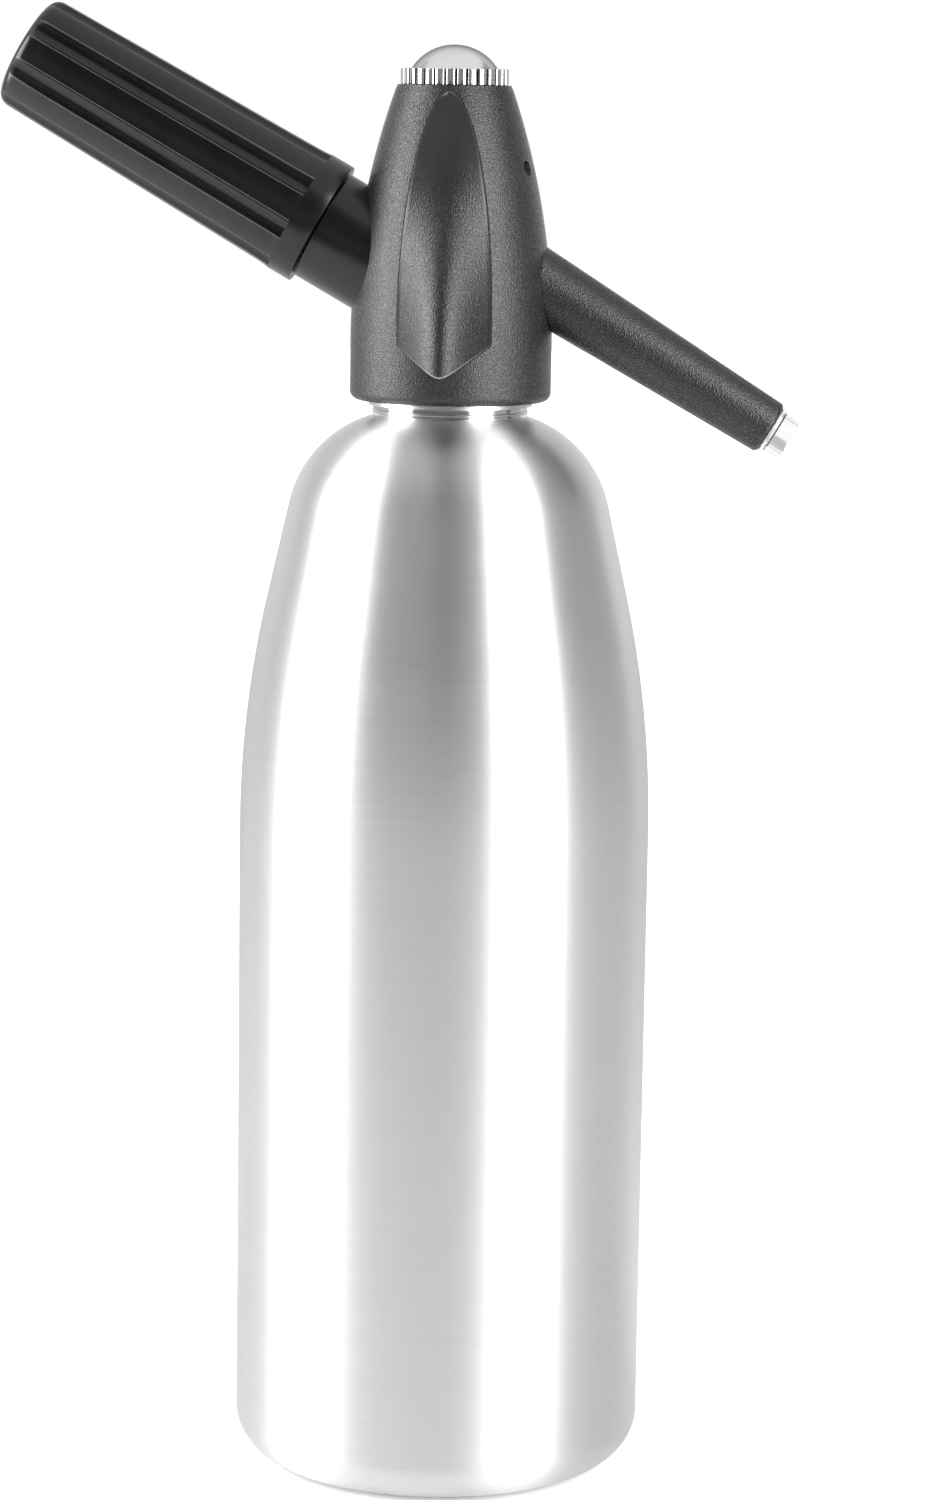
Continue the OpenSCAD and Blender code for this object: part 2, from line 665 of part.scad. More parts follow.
module valve_seat() {
    color("#c8a45a") tube(inlet_d - 2 * fit, seat_bore, seat_low_z, seat_z);
}

module valve_stem() {
    low = poppet_z - poppet_t;
    top = roof_low_z - face_gap;
    outline = [[0, low], [poppet_d / 2 - 0.6, low], [poppet_d / 2, low + 0.6],
        [poppet_d / 2, poppet_z], [stem_d / 2, poppet_z], [stem_d / 2, top - 0.5],
        [stem_d / 2 - 0.5, top], [0, top]];
    color("#c9ccd0") rotate_extrude() polygon(outline);
}

module valve_disc() {
    color("#3a3a3a") tube(poppet_d, stem_d + 2 * fit, poppet_z, washer_z);
}

// The guide's seal groove is open downward, so the seal goes in before the guide
module stem_guide() {
    low = upper_z - guide_h;
    outline = [[stem_seal_d / 2, low], [outlet_d / 2 - fit, low], [outlet_d / 2 - fit, upper_z],
        [guide_flange_d / 2, upper_z], [guide_flange_d / 2, spring_z],
        [stem_d / 2 + run, spring_z], [stem_d / 2 + run, low + stem_seal_h],
        [stem_seal_d / 2, low + stem_seal_h]];
    color("#e6e3d6") rotate_extrude() polygon(outline);
}

module stem_seal() {
    low = upper_z - guide_h;
    color("#2e2e2e") tube(stem_seal_d - 2 * fit, stem_d + 2 * run, low, low + stem_seal_h - fit);
}

module return_spring() {
    color("#bfc2c6") translate([0, 0, spring_z])
        coil(spring_mean_d, spring_wire, roof_low_z - face_gap - spring_z, spring_turns,
            "return_spring");
}

module button_plunger() {
    core_r = button_d / 2 - dome_wall - fit;
    outline = [[plunger_bore / 2, stop_low_z], [stop_d / 2, stop_low_z], [stop_d / 2, stop_top_z],
        [core_r, stop_top_z], [core_r, roof_z - 0.6], [core_r - 0.6, roof_z], [0, roof_z],
        [0, roof_low_z], [plunger_bore / 2, roof_low_z]];
    color("#1d1e20") {
        rotate_extrude() polygon(outline);
        tube(stem_boss_d, stem_d + 2 * fit, boss_low_z, roof_low_z + 0.01);
    }
}

module button_dome() {
    skirt_r = button_d / 2;
    out_a = acos(skirt_r / dome_r);
    in_a = acos((skirt_r - dome_wall) / (dome_r - dome_wall));
    outline = concat([[skirt_r, dome_low_z]], arc(0, dome_cz, dome_r, out_a, 90, 12),
        arc(0, dome_cz, dome_r - dome_wall, 90, in_a, 12), [[skirt_r - dome_wall, dome_low_z]]);
    color("#e3e5e8") rotate_extrude() polygon(outline);
}

module bezel_ring() {
    bore_r = button_d / 2 + run;
    outline = [[bore_r, ring_low_z], [ring_thread_d / 2, ring_low_z],
        [ring_thread_d / 2, shell_top_z + fit], [ring_d / 2 - 0.3, shell_top_z + fit],
        [ring_d / 2, shell_top_z + 0.35], [ring_d / 2, ring_top_z - 0.5],
        [ring_d / 2 - 0.5, ring_top_z], [bore_r + 0.3, ring_top_z], [bore_r, ring_top_z - 0.3]];
    notch_w = PI * ring_d / ring_teeth / 2;
    color("#dfe1e4") difference() {
        rotate_extrude() polygon(outline);
        for (i = [0 : ring_teeth - 1]) rotate([0, 0, (i + 0.5) * 360 / ring_teeth])
            translate([ring_d / 2 - ring_notch, -notch_w / 2, shell_top_z])
                cube([ring_notch + past, notch_w, ring_h + past]);
    }
}

module charger_socket() {
    mouth_s = socket_out + stub_len;
    outline = [[gas_bore / 2, spigot_start + fit], [spigot_d / 2 - 0.5, spigot_start + fit],
        [spigot_d / 2, spigot_start + 0.5], [spigot_d / 2, socket_in], [socket_d / 2, socket_in],
        [socket_d / 2, socket_out - 0.4], [socket_d / 2 - 0.4, socket_out],
        [stub_d / 2, socket_out], [stub_d / 2, mouth_s - 1], [stub_d / 2 - 1, mouth_s],
        [recess_d / 2, mouth_s], [recess_d / 2, seat_s], [chamber_d / 2, seat_s],
        [chamber_d / 2, filter_in], [gas_bore / 2, filter_in]];
    color("#1b1c1e") on_charger() difference() {
        rotate_extrude() polygon(outline);
        tube(spigot_d + 2.4, spigot_d, socket_in - past, socket_in + 1.5);
    }
}

module socket_seal() {
    color("#2e2e2e") on_charger() tube(spigot_d + 2.3, spigot_d + fit, socket_in, socket_in + 1.45);
}

module gas_filter() {
    color("#9b8a63") on_charger() rod(chamber_d - 2 * fit, filter_in, filter_in + filter_t);
}

module piercing_pin() {
    nipple_end = seat_s - nipple_len;
    tip = pin_face + pin_len;
    bore = 0.9;
    outline = [[0, nipple_end], [nipple_d / 2 - 0.3, nipple_end], [nipple_d / 2, nipple_end + 0.3],
        [nipple_d / 2, seat_s], [recess_d / 2 - fit, seat_s], [recess_d / 2 - fit, pin_face],
        [pin_d / 2, pin_face], [pin_d / 2, tip - 1.5], [bore / 2 + 0.05, tip],
        [bore / 2, tip], [bore / 2, nipple_end + 1.5], [0, nipple_end + 1.5]];
    color("#b4b8bd") on_charger() difference() {
        rotate_extrude($fn = 32) polygon(outline);
        translate([0, -nipple_d, seat_s - nipple_len / 2]) rotate([-90, 0, 0])
            cylinder(d = bore, h = 2 * nipple_d, $fn = 24);
    }
}

module check_sleeve() {
    middle = seat_s - nipple_len / 2;
    color("#3a3a3a") on_charger()
        tube(nipple_d + 2 * fit + 2 * sleeve_wall, nipple_d + 2 * fit, middle - 2, middle + 2);
}

module charger_seal() {
    color("#2e2e2e") on_charger() tube(recess_d - 2 * fit, pin_d + 2 * fit, pin_face, seal_end);
}

module gas_charger() {
    w = charger_wall;
    body_r = charger_d / 2;
    neck = charger_neck_d / 2;
    shoulder_s = charger_tip + charger_neck_len;
    round_r = body_r;
    hip_s = shoulder_s + sqrt(pow(round_r, 2) - pow(neck, 2));
    neck_a = acos(neck / round_r);
    hole_r = pin_d / 2 + 4 * run;
    base_r = 5;
    outline = concat(
        [[hole_r, charger_tip], [neck - 0.5, charger_tip], [neck, charger_tip + 0.5]],
        arc(0, hip_s, round_r, -neck_a, 0, 8),
        arc(body_r - base_r, charger_end - base_r, base_r, 0, 90, 5),
        [[0, charger_end], [0, charger_end - w]],
        arc(body_r - base_r, charger_end - base_r, base_r - w, 90, 0, 5),
        arc(0, hip_s, round_r - w, 0, -acos((neck - w) / (round_r - w)), 8),
        [[neck - w, charger_tip + 1], [hole_r, charger_tip + 1]]);
    color("#9ea2a6") on_charger() rotate_extrude() polygon(outline);
}

module charger_holder() {
    rim_r = holder_rim_d / 2;
    thread_r = stub_d / 2 + run;
    bore_r = charger_d / 2 + 5 * run;
    thread_end = socket_out + stub_len + 1;
    outline = [[thread_r, holder_rim], [rim_r - 0.4, holder_rim], [rim_r, holder_rim + 0.4],
        [rim_r, flute_start - 0.1], [rim_r - 0.1, flute_start], [flute_top_r, flute_start],
        [flute_end_r, holder_end - holder_bevel], [flute_end_r - 0.7, holder_end - 0.4],
        [flute_end_r - 2.2, holder_end - 0.05], [flute_end_r / 2, holder_end + 0.6],
        [0, holder_end + 0.8], [0, holder_floor], [bore_r - 3, holder_floor],
        [bore_r, holder_floor - 3], [bore_r, thread_end + thread_r - bore_r],
        [thread_r, thread_end]];
    color("#141517") on_charger() difference() {
        rotate_extrude($fn = 96) polygon(outline);
        for (i = [0 : flutes - 1]) rotate([0, 0, flute_turn + i * 360 / flutes])
            translate([flute_top_r + flute_r - flute_depth, 0, flute_start])
                rotate([0, -flute_lean, 0]) cylinder(r = flute_r, h = holder_end, $fn = 48);
    }
}

module spout_tube() {
    r = spout_end_d / 2;
    e = spout_edge_r;
    root_r = spout_root_d / 2;
    lean = (root_r - r) / (spout_len - spout_start);
    spigot_r = spout_spigot_d / 2;
    start = duct_start + fit;
    outline = concat([[duct_d / 2 + fit, start], [spigot_r - 0.4, start], [spigot_r, start + 0.4],
        [spigot_r, spout_start], [root_r, spout_start]],
        arc(r + lean * e - e, spout_len - e, e, 0, 90, 5),
        [[nozzle_d / 2 + fit, spout_len], [nozzle_d / 2 + fit, nozzle_start - fit],
            [duct_d / 2 + fit, nozzle_start - fit]]);
    color("#26272a") on_spout() rotate_extrude() polygon(outline);
}

module soda_duct() {
    color("#e0dfd8") on_spout() tube(duct_d, duct_bore, duct_start + fit, duct_end);
}

module duct_seal() {
    color("#2e2e2e") on_spout() tube(spout_spigot_d, duct_bore, spout_spigot_start, duct_start);
}

module spout_nozzle() {
    r = nozzle_d / 2;
    tip_r = nozzle_tip_d / 2;
    bore_r = nozzle_bore / 2;
    end = spout_len + nozzle_out;
    groove = spout_len - 4;
    outline = concat(
        [[duct_d / 2 + fit, nozzle_start], [r, nozzle_start], [r, groove - 1.6],
            [r - 0.7, groove - 1.6], [r - 0.7, groove], [r, groove], [r, spout_len + fit],
            [nozzle_flange_d / 2, spout_len + fit], [nozzle_flange_d / 2, spout_len + 0.8]],
        [[r, spout_len + 1.2]],
        arc(tip_r - 0.5, end - 0.5, 0.5, 0, 90, 4),
        [[bore_r, end], [bore_r, duct_end + fit], [duct_d / 2 + fit, duct_end + fit]]);
    color("#eef3f5", 0.5) on_spout() rotate_extrude() polygon(outline);
}

module nozzle_seal() {
    groove = spout_len - 4;
    color("#d8d5c8") on_spout()
        tube(nozzle_d, nozzle_d - 1.4 + 2 * fit, groove - 1.6 + fit, groove - fit);
}

module relief_poppet() {
    r = relief_bore / 2 - run;
    low = relief_seat_z + face_gap;
    top = relief_cap_z - relief_lift - 2 * face_gap;
    outline = [[0, low], [r, low], [r, relief_head_z], [0.9, relief_head_z], [0.9, top], [0, top]];
    color("#c8a45a") translate([relief_x, relief_y, 0]) difference() {
        rotate_extrude($fn = 32) polygon(outline);
        for (i = [0 : 3]) rotate([0, 0, 90 * i + 45])
            translate([r - 0.5, -0.5, relief_seat_z]) cube([1, 1, relief_head_t + 1]);
    }
}

module relief_spring() {
    low = relief_head_z + face_gap;
    color("#bfc2c6") translate([relief_x, relief_y, low])
        coil(relief_bore - 2, relief_wire, relief_cap_z - low, relief_turns, "relief_spring");
}

module relief_cap() {
    top = relief_cap_z + relief_cap_h;
    color("#c8a45a") translate([relief_x, relief_y, 0]) difference() {
        rod(relief_bore - 2 * fit, relief_cap_z, top);
        translate([-relief_bore, -0.5, top - 1]) cube([2 * relief_bore, 1, 2]);
    }
}

bottle();
measuring_tube();
dip_tube();
dip_tube_seal();
head_shell();
valve_body();
head_gasket();
valve_seat();
valve_stem();
valve_disc();
stem_guide();
stem_seal();
return_spring();
button_plunger();
button_dome();
bezel_ring();
charger_socket();
socket_seal();
gas_filter();
check_sleeve();
piercing_pin();
charger_seal();
gas_charger();
charger_holder();
spout_tube();
soda_duct();
duct_seal();
spout_nozzle();
nozzle_seal();
relief_poppet();
relief_spring();
relief_cap();
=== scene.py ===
# %% [markdown]
# # A soda siphon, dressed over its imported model
#
# The siphon is a brushed aluminium bottle under a black screw-on head with a chrome
# button, a fluted charger holder and a drooping spout. This lesson makes the pieces that
# show with finer meshes, gives the hidden ones their finish, and sets up the camera,
# floor and lamps.

# %% Load the frame
import json
from math import acos, asin, cos, degrees, exp, hypot, pi, radians, sin, sqrt, tan
import bpy
from mathutils import Matrix, Vector


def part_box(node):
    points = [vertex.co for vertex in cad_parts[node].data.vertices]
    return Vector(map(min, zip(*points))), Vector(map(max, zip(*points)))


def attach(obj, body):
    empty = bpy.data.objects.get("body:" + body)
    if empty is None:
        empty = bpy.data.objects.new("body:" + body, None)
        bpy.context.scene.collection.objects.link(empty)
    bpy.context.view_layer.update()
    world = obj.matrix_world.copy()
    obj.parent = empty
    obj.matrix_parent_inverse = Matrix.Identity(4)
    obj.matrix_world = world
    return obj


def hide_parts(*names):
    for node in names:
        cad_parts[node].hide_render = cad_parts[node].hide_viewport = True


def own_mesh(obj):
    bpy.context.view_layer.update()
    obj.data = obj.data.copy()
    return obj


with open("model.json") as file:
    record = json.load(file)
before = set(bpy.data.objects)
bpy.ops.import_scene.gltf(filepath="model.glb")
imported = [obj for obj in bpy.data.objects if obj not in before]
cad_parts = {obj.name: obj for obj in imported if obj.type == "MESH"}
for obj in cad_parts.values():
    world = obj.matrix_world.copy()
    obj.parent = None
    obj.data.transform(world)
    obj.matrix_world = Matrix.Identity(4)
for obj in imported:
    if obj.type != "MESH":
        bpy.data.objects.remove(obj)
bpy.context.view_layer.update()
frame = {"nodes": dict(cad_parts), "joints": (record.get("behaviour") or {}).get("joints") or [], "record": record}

mm = 0.001

# %% [markdown]
# ## Heights and axes
#
# A dressed piece has to sit exactly where its solid sits. Places could be typed again
# for each piece, but they drift apart when one changes. So the heights come from the
# boxes of the solids, and the two leaning axes from the record: one is the joint of the
# charger holder, the other the mount at the outlet.

# %% Heights, and the two leaning axes
def low_of(solid):
    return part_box(solid)[0].z


def top_of(solid):
    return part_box(solid)[1].z


def joint(name):
    return next(j for j in frame["joints"] if j["name"] == name)


def axis_place(point, direction):
    """A matrix that lays a piece turned round Z on an axis, counted from the main axis."""
    d = Vector(direction).normalized()
    p = Vector(point)
    start = p - d * (p.x / d.x)
    side = Vector((0, 1, 0))
    up = side.cross(d)
    turn = Matrix((up, side, d)).transposed().to_4x4()
    return Matrix.Translation(start) @ turn


mouth_z = top_of("bottle")
cover_low, cover_top = low_of("head_shell"), top_of("head_shell")
ring_top, dome_top = top_of("bezel_ring"), top_of("button_dome")
outlet = next(m for m in frame["record"]["mounts"] if m["name"] == "outlet")
charger_axis = axis_place(joint("holder_turn")["pos_m"], joint("holder_turn")["axis"])
spout_axis = axis_place(outlet["pos_m"], outlet["axis"])
crossings = [round(axis.translation.z / mm, 2) for axis in (charger_axis, spout_axis)]
print("charger and spout axes meet the main axis at", crossings, "mm")

# %% [markdown]
# ## Turning a piece on a lathe
#
# Nearly every piece here is turned or moulded round an axis. Blender's Screw modifier
# could spin a drawn line, but it can't cut a thread on the way. So one helper spins an
# outline of radius and height, and lets a function push the surface in at each angle.
# Corners get a small arc first, because a real edge is never sharp and its highlight
# shows that.

# %% Lathe helpers
sharp_angle = 32


def clamp(x):
    return min(1.0, max(0.0, x))


def between(first, last, steps):
    return [first + (last - first) * i / steps for i in range(steps + 1)]


def arc(cx, cz, r, start, stop, steps):
    """Points on an arc, in degrees."""
    turn = [radians(a) for a in between(start, stop, steps)]
    return [(cx + r * cos(a), cz + r * sin(a)) for a in turn]


def eased(outline, radius, steps=3, sharp=25):
    """Round every corner of a closed outline that turns more than sharp degrees."""
    points, count = [], len(outline)
    for i, here in enumerate(outline):
        p, a, b = Vector(here), Vector(outline[i - 1]), Vector(outline[(i + 1) % count])
        u, v = a - p, b - p
        bend = 180 - degrees(u.angle(v))
        if here[0] < 1e-6 or not sharp < bend < 179:
            points.append(tuple(here))
            continue
        half = radians(180 - bend) / 2
        back = min(radius / tan(half), 0.45 * u.length, 0.45 * v.length)
        first, last = p + u.normalized() * back, p + v.normalized() * back
        points += [tuple(first * (1 - t) ** 2 + p * 2 * t * (1 - t) + last * t * t)
                   for t in between(0, 1, steps)]
    return points


def thread(crest_r, low, high, pitch, depth, run_in, power=1):
    """A shape for the lathe: a helix pushed in between two heights, faded at both ends."""
    def shape(r, z, a):
        if abs(r - crest_r) > 1e-6 or not low < z < high:
            return r, z
        fade = min(1, (z - low) / run_in, (high - z) / mm)
        groove = 0.5 - 0.5 * cos(2 * pi * z / pitch - a)
        return r - depth * fade * groove ** power, z
    return shape


def lathe(name, outline, place=Matrix(), sections=192, shape=None):
    """Spin a closed outline of (radius, height) round Z, then lay it on its place."""
    verts, rings, run, far = [], [], [], 0.0
    for i, (r, z) in enumerate(outline):
        far += (Vector((r, z)) - Vector(outline[i - 1])).length if i else 0.0
        count = 1 if r < 1e-6 else sections
        rings.append(list(range(len(verts), len(verts) + count)))
        for k in range(count):
            a = 2 * pi * k / sections
            rr, zz = shape(r, z, a) if shape and count > 1 else (r, z)
            verts.append((rr * cos(a), rr * sin(a), zz))
            run.append(far)
    faces = []
    for low, high in zip(rings, rings[1:] + rings[:1]):
        for k in range(sections):
            n = (k + 1) % sections
            corners = [(low, k), (low, n), (high, n), (high, k)]
            face = tuple(dict.fromkeys(ring[i % len(ring)] for ring, i in corners))
            if len(face) > 2:
                faces.append(face)
    return mesh_piece(name, verts, faces, place, sharp_angle, {"along": run})


def add_object(name, data):
    made = bpy.data.objects.new(name, data)
    bpy.context.scene.collection.objects.link(made)
    return made


def mark_points(mesh, name, values):
    """Keep a number at every point, which a finish can read later."""
    mesh.attributes.new(name, "FLOAT", "POINT").data.foreach_set("value", values)


def mesh_piece(name, verts, faces, place, sharp, marks):
    mesh = bpy.data.meshes.new(name)
    mesh.from_pydata(verts, [], faces)
    for mark, values in marks.items():
        mark_points(mesh, mark, values)
    mesh.transform(place)
    mesh.validate()
    mesh.shade_smooth()
    mesh.set_sharp_from_angle(angle=radians(sharp))
    return add_object(name, mesh)


def stand_for(piece, solid, body):
    """The piece moves with its body and hides its solid."""
    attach(piece, body)
    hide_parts(solid)
    print(piece.name, "made:", len(piece.data.vertices), "points, stands for", solid)


# %% [markdown]
# ## The bottle
#
# The bottle is one cup of aluminium, drawn deep and necked in, so its outline is a
# straight wall, a long lean, a short cone and a round shoulder that turn into each
# other without a kink. A subdivision surface only comes near such arcs. So they are
# computed, each starting where the last ends, and spun. The thread is rolled into the
# neck, so it is pushed in as a soft helix.

# %% Bottle
bottle_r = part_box("bottle")[1].x
wall, foot_w, edge_r, base_rise = 1.5 * mm, 4 * mm, 10 * mm, 7 * mm
wall_h, lean_r, lean_a, cone_h = 149 * mm, 246.5 * mm, 12.7, 21.6 * mm
shoulder_r, neck_r, fillet_r, bead_r = 27 * mm, 17.6 * mm, 1.2 * mm, 0.35 * mm
neck_bore_r, mouth_r, mouth_depth, lip_r = 13.5 * mm, 14.7 * mm, 5 * mm, 0.5 * mm
thread_low, thread_high, thread_rows = mouth_z - 11.5 * mm, mouth_z - 1.5 * mm, 36

lean = radians(lean_a)
cone_r = bottle_r - lean_r * (1 - cos(lean)) - cone_h * tan(lean)
cone_z = wall_h + lean_r * sin(lean) + cone_h
shoulder_x = cone_r - shoulder_r * cos(lean)
shoulder_z = cone_z - shoulder_r * sin(lean)
root_r = (neck_r + fillet_r + fillet_r * shoulder_x / shoulder_r) / (1 + fillet_r / shoulder_r)
root_a = degrees(acos((root_r - shoulder_x) / shoulder_r))
root_z = shoulder_z + shoulder_r * sin(radians(root_a))
fillet_z = root_z + fillet_r * sin(radians(root_a))


def bottle_outside():
    line = arc(bottle_r - edge_r, edge_r, edge_r, 270, 360, 20)
    line += arc(bottle_r - lean_r, wall_h, lean_r, 0, lean_a, 24)
    line += arc(shoulder_x, shoulder_z, shoulder_r, lean_a, root_a, 28)
    line += arc(neck_r + fillet_r, fillet_z, fillet_r, 180 + root_a, 180, 6)[:-2]
    line += arc(neck_r, fillet_z + bead_r, bead_r, 290, 450, 8)
    line += [(neck_r, z) for z in between(thread_low, thread_high, thread_rows)]
    return line + arc(neck_r - lip_r, mouth_z - lip_r, lip_r, 0, 90, 4)


def bottle_inside():
    """The inner wall from the mouth down, then the raised base from inside and below."""
    step_z, in_r = mouth_z - mouth_depth, shoulder_r - wall
    top_a = degrees(acos((neck_bore_r - shoulder_x) / in_r))
    line = [(mouth_r, mouth_z), (mouth_r, step_z), (neck_bore_r, step_z)]
    line += arc(shoulder_x, shoulder_z, in_r, top_a, lean_a, 16)
    line += arc(bottle_r - lean_r, wall_h, lean_r - wall, lean_a, 0, 12)
    line += arc(bottle_r - edge_r, edge_r, edge_r - wall, 360, 270, 12)
    foot_in = bottle_r - edge_r - foot_w
    dome = (foot_in ** 2 + base_rise ** 2) / (2 * base_rise)
    rise = degrees(asin(foot_in / dome))
    line += arc(0, base_rise - dome, dome + wall, 90 - rise, 90, 10)
    return line + arc(0, base_rise - dome, dome, 90, 90 - rise, 10)


neck_thread = thread(neck_r, thread_low, thread_high, pitch=3 * mm, depth=0.6 * mm,
                     run_in=1.5 * mm, power=0.7)
bottle = lathe("bottle_body", bottle_outside() + bottle_inside(), sections=256, shape=neck_thread)
stand_for(bottle, "bottle", "bottle")
print("neck root at", round(root_z / mm, 1), "mm, mouth at", round(mouth_z / mm, 1), "mm")

# %% [markdown]
# ## The cover and its grip wings
#
# The cover is a bullet of grained black plastic, moulded in one with two leaf-shaped
# wings that the hand turns. The bullet is spun, and Boolean modifiers cut the holes for
# the socket, the spout and the vent, as a moulder's core pins do. A wing can't be spun:
# it is a grid from its rim on the cover up to a crest that fades towards the top.

# %% The cover's bullet and its holes
shell_r, shell_foot, shell_wall = 22.95 * mm, 13.5 * mm, 2.4 * mm
cover_edge_r, top_edge_r, cover_rows = 2 * mm, 0.25 * mm, 48
ring_thread_r, thread_len, collar_wall = 11.6 * mm, 4.3 * mm, 1.3 * mm
fit, plate_r, plate_z = 0.05 * mm, 20 * mm, mouth_z + 6 * mm
# each hole's radius, and where its core pin starts and ends on its axis
socket_r, socket_pin = 13 * mm, (13 * mm, 34 * mm)
spout_root_r, spout_pin = 8.1 * mm, (15.5 * mm, 42 * mm)
vent_r, vent_pin, vent_up = 1.6 * mm, (0, 46 * mm), 39.3 * mm
cover_rise = cover_top - cover_low - shell_foot
top_r = ring_thread_r + fit + collar_wall
bullet_r = (cover_rise ** 2 + (shell_r - top_r) ** 2) / (2 * (shell_r - top_r))


def cover_r(z):
    """Radius of the bullet at a height: a cylinder at its foot, then an arc."""
    up = max(0.0, z - cover_low - shell_foot)
    return shell_r - bullet_r + sqrt(bullet_r ** 2 - up * up)


def cover_outline():
    foot_z, inner_top = cover_low + shell_foot, cover_top - thread_len
    line = arc(shell_r - cover_edge_r, cover_low + cover_edge_r, cover_edge_r, 270, 360, 10)
    line += [(cover_r(z), z) for z in between(foot_z, cover_top, cover_rows)[:-1]]
    line += arc(top_r - top_edge_r, cover_top - top_edge_r, top_edge_r, 0, 90, 3)
    line += [(ring_thread_r + fit, cover_top), (ring_thread_r + fit, inner_top)]
    line += [(cover_r(z) - shell_wall, z) for z in between(inner_top, plate_z, 12)]
    return line + [(plate_r + fit, plate_z), (plate_r + fit, cover_low)]


def keep_result(piece):
    """Put what the piece's modifiers make in place of its mesh."""
    graph = bpy.context.evaluated_depsgraph_get()
    piece.data = bpy.data.meshes.new_from_object(piece.evaluated_get(graph))
    piece.modifiers.clear()
    piece.data.shade_smooth()


def cut_by(piece, pins):
    """Cut pins out of a piece with Boolean modifiers."""
    for pin in pins:
        cut = piece.modifiers.new(pin.name, "BOOLEAN")
        cut.object, cut.solver = pin, "EXACT"
    keep_result(piece)
    for pin in pins:
        bpy.data.objects.remove(pin)
    piece.data.set_sharp_from_angle(angle=radians(sharp_angle))


def core_pin(name, r, span, place):
    start, end = span
    return lathe(name, [(0, start), (r, start), (r, end), (0, end)], place, sections=128)


vent_middle = sum(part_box("relief_cap"), Vector()) / 2
vent_place = (Matrix.Translation((vent_middle.x, vent_middle.y, mouth_z + vent_up))
              @ Matrix.Rotation(radians(90), 4, "Y"))
cover = lathe("cover", cover_outline(), sections=256)
cut_by(cover, [core_pin("socket_pin", socket_r + fit, socket_pin, charger_axis),
               core_pin("spout_pin", spout_root_r + fit, spout_pin, spout_axis),
               core_pin("vent_pin", vent_r, vent_pin, vent_place)])
print("cover cut:", len(cover.data.polygons), "faces")

# %% The two grip wings
wing_half_w, wing_crest, wing_rim, wing_low = 10.4 * mm, 9.5 * mm, 0.6 * mm, 0.15 * mm
wing_tip_z, wing_wide_z = cover_low + 7 * mm, cover_low + 19.5 * mm
wing_fade_z, wing_top_z = cover_low + 51 * mm, cover_top - 1.5 * mm
leaf_over, leaf_power = 0.15 * mm, 0.56
foot_v_h, foot_soft, crest_soft = 6.8 * mm, 0.03, 0.4
# lines round the rim: how far outside it, and how high over the bullet
foot_lines = ((0, 0.02 * mm), (0.3 * mm, 0.02 * mm), (0.45 * mm, -0.3 * mm))
# painted highlight: these numbers place a light grey line along the wing's V foot and near its top, in place of a
# reflection on the rim
glint_top, glint_run, glint_foot, glint_side = 7 * mm, 5 * mm, (0.35, 0.65), 0.4
# painted shade: the first number darkens the wing's rim, as painted shadow at its edge
rim_line_shade, wing_ease, rim_pull = 0.3, 0.28 * mm, 0.3


def vee(u, soft):
    """A V from 0 in the middle to 1 at the rim, with its point rounded."""
    return (sqrt(u * u + soft) - sqrt(soft)) / (sqrt(1 + soft) - sqrt(soft))


def leaf_half(z):
    """Half the width of the leaf at a height."""
    up = max(0.0, z - wing_wide_z) / (wing_top_z + leaf_over - wing_wide_z)
    return wing_half_w * max(0.0, 1 - up * up) ** leaf_power


def leaf_low(u):
    """Height of the leaf's V-shaped foot, u from -1 to 1 across it."""
    return wing_tip_z + foot_v_h * vee(u, foot_soft)


def wing_skin(columns, rows):
    """Points of a wing's skin, in rows from its foot to its top."""
    skin = []
    for i in range(rows + 1):
        for t in between(-1, 1, columns):
            u = t * (1 - rim_pull + rim_pull * t * t)
            low = leaf_low(u)
            z = low + (wing_top_z - low) * i / rows
            r, w = cover_r(z), leaf_half(z)
            up = clamp((z - wing_tip_z) / (wing_fade_z - wing_tip_z))
            crest = wing_low + (wing_crest - wing_low) * (1 - up * up * (3 - 2 * up))
            rim = sqrt(r * r - w * w) + wing_rim
            skin.append((u * w, -(r + crest + (rim - r - crest) * vee(u, crest_soft)), z))
    return skin


def foot_line(rim_points, out, lift):
    """The rim's line laid on the bullet, moved outward along it and lifted off it."""
    line, count = [], len(rim_points)
    for k, (x, y, z) in enumerate(rim_points):
        before, after = rim_points[k - 1], rim_points[(k + 1) % count]
        along = Vector((after[0] - before[0], after[2] - before[2])).normalized()
        px, pz = x + along.y * out, z - along.x * out
        r = cover_r(min(pz, cover_top)) + lift
        line.append((px, -sqrt(r * r - px * px), pz))
    return line


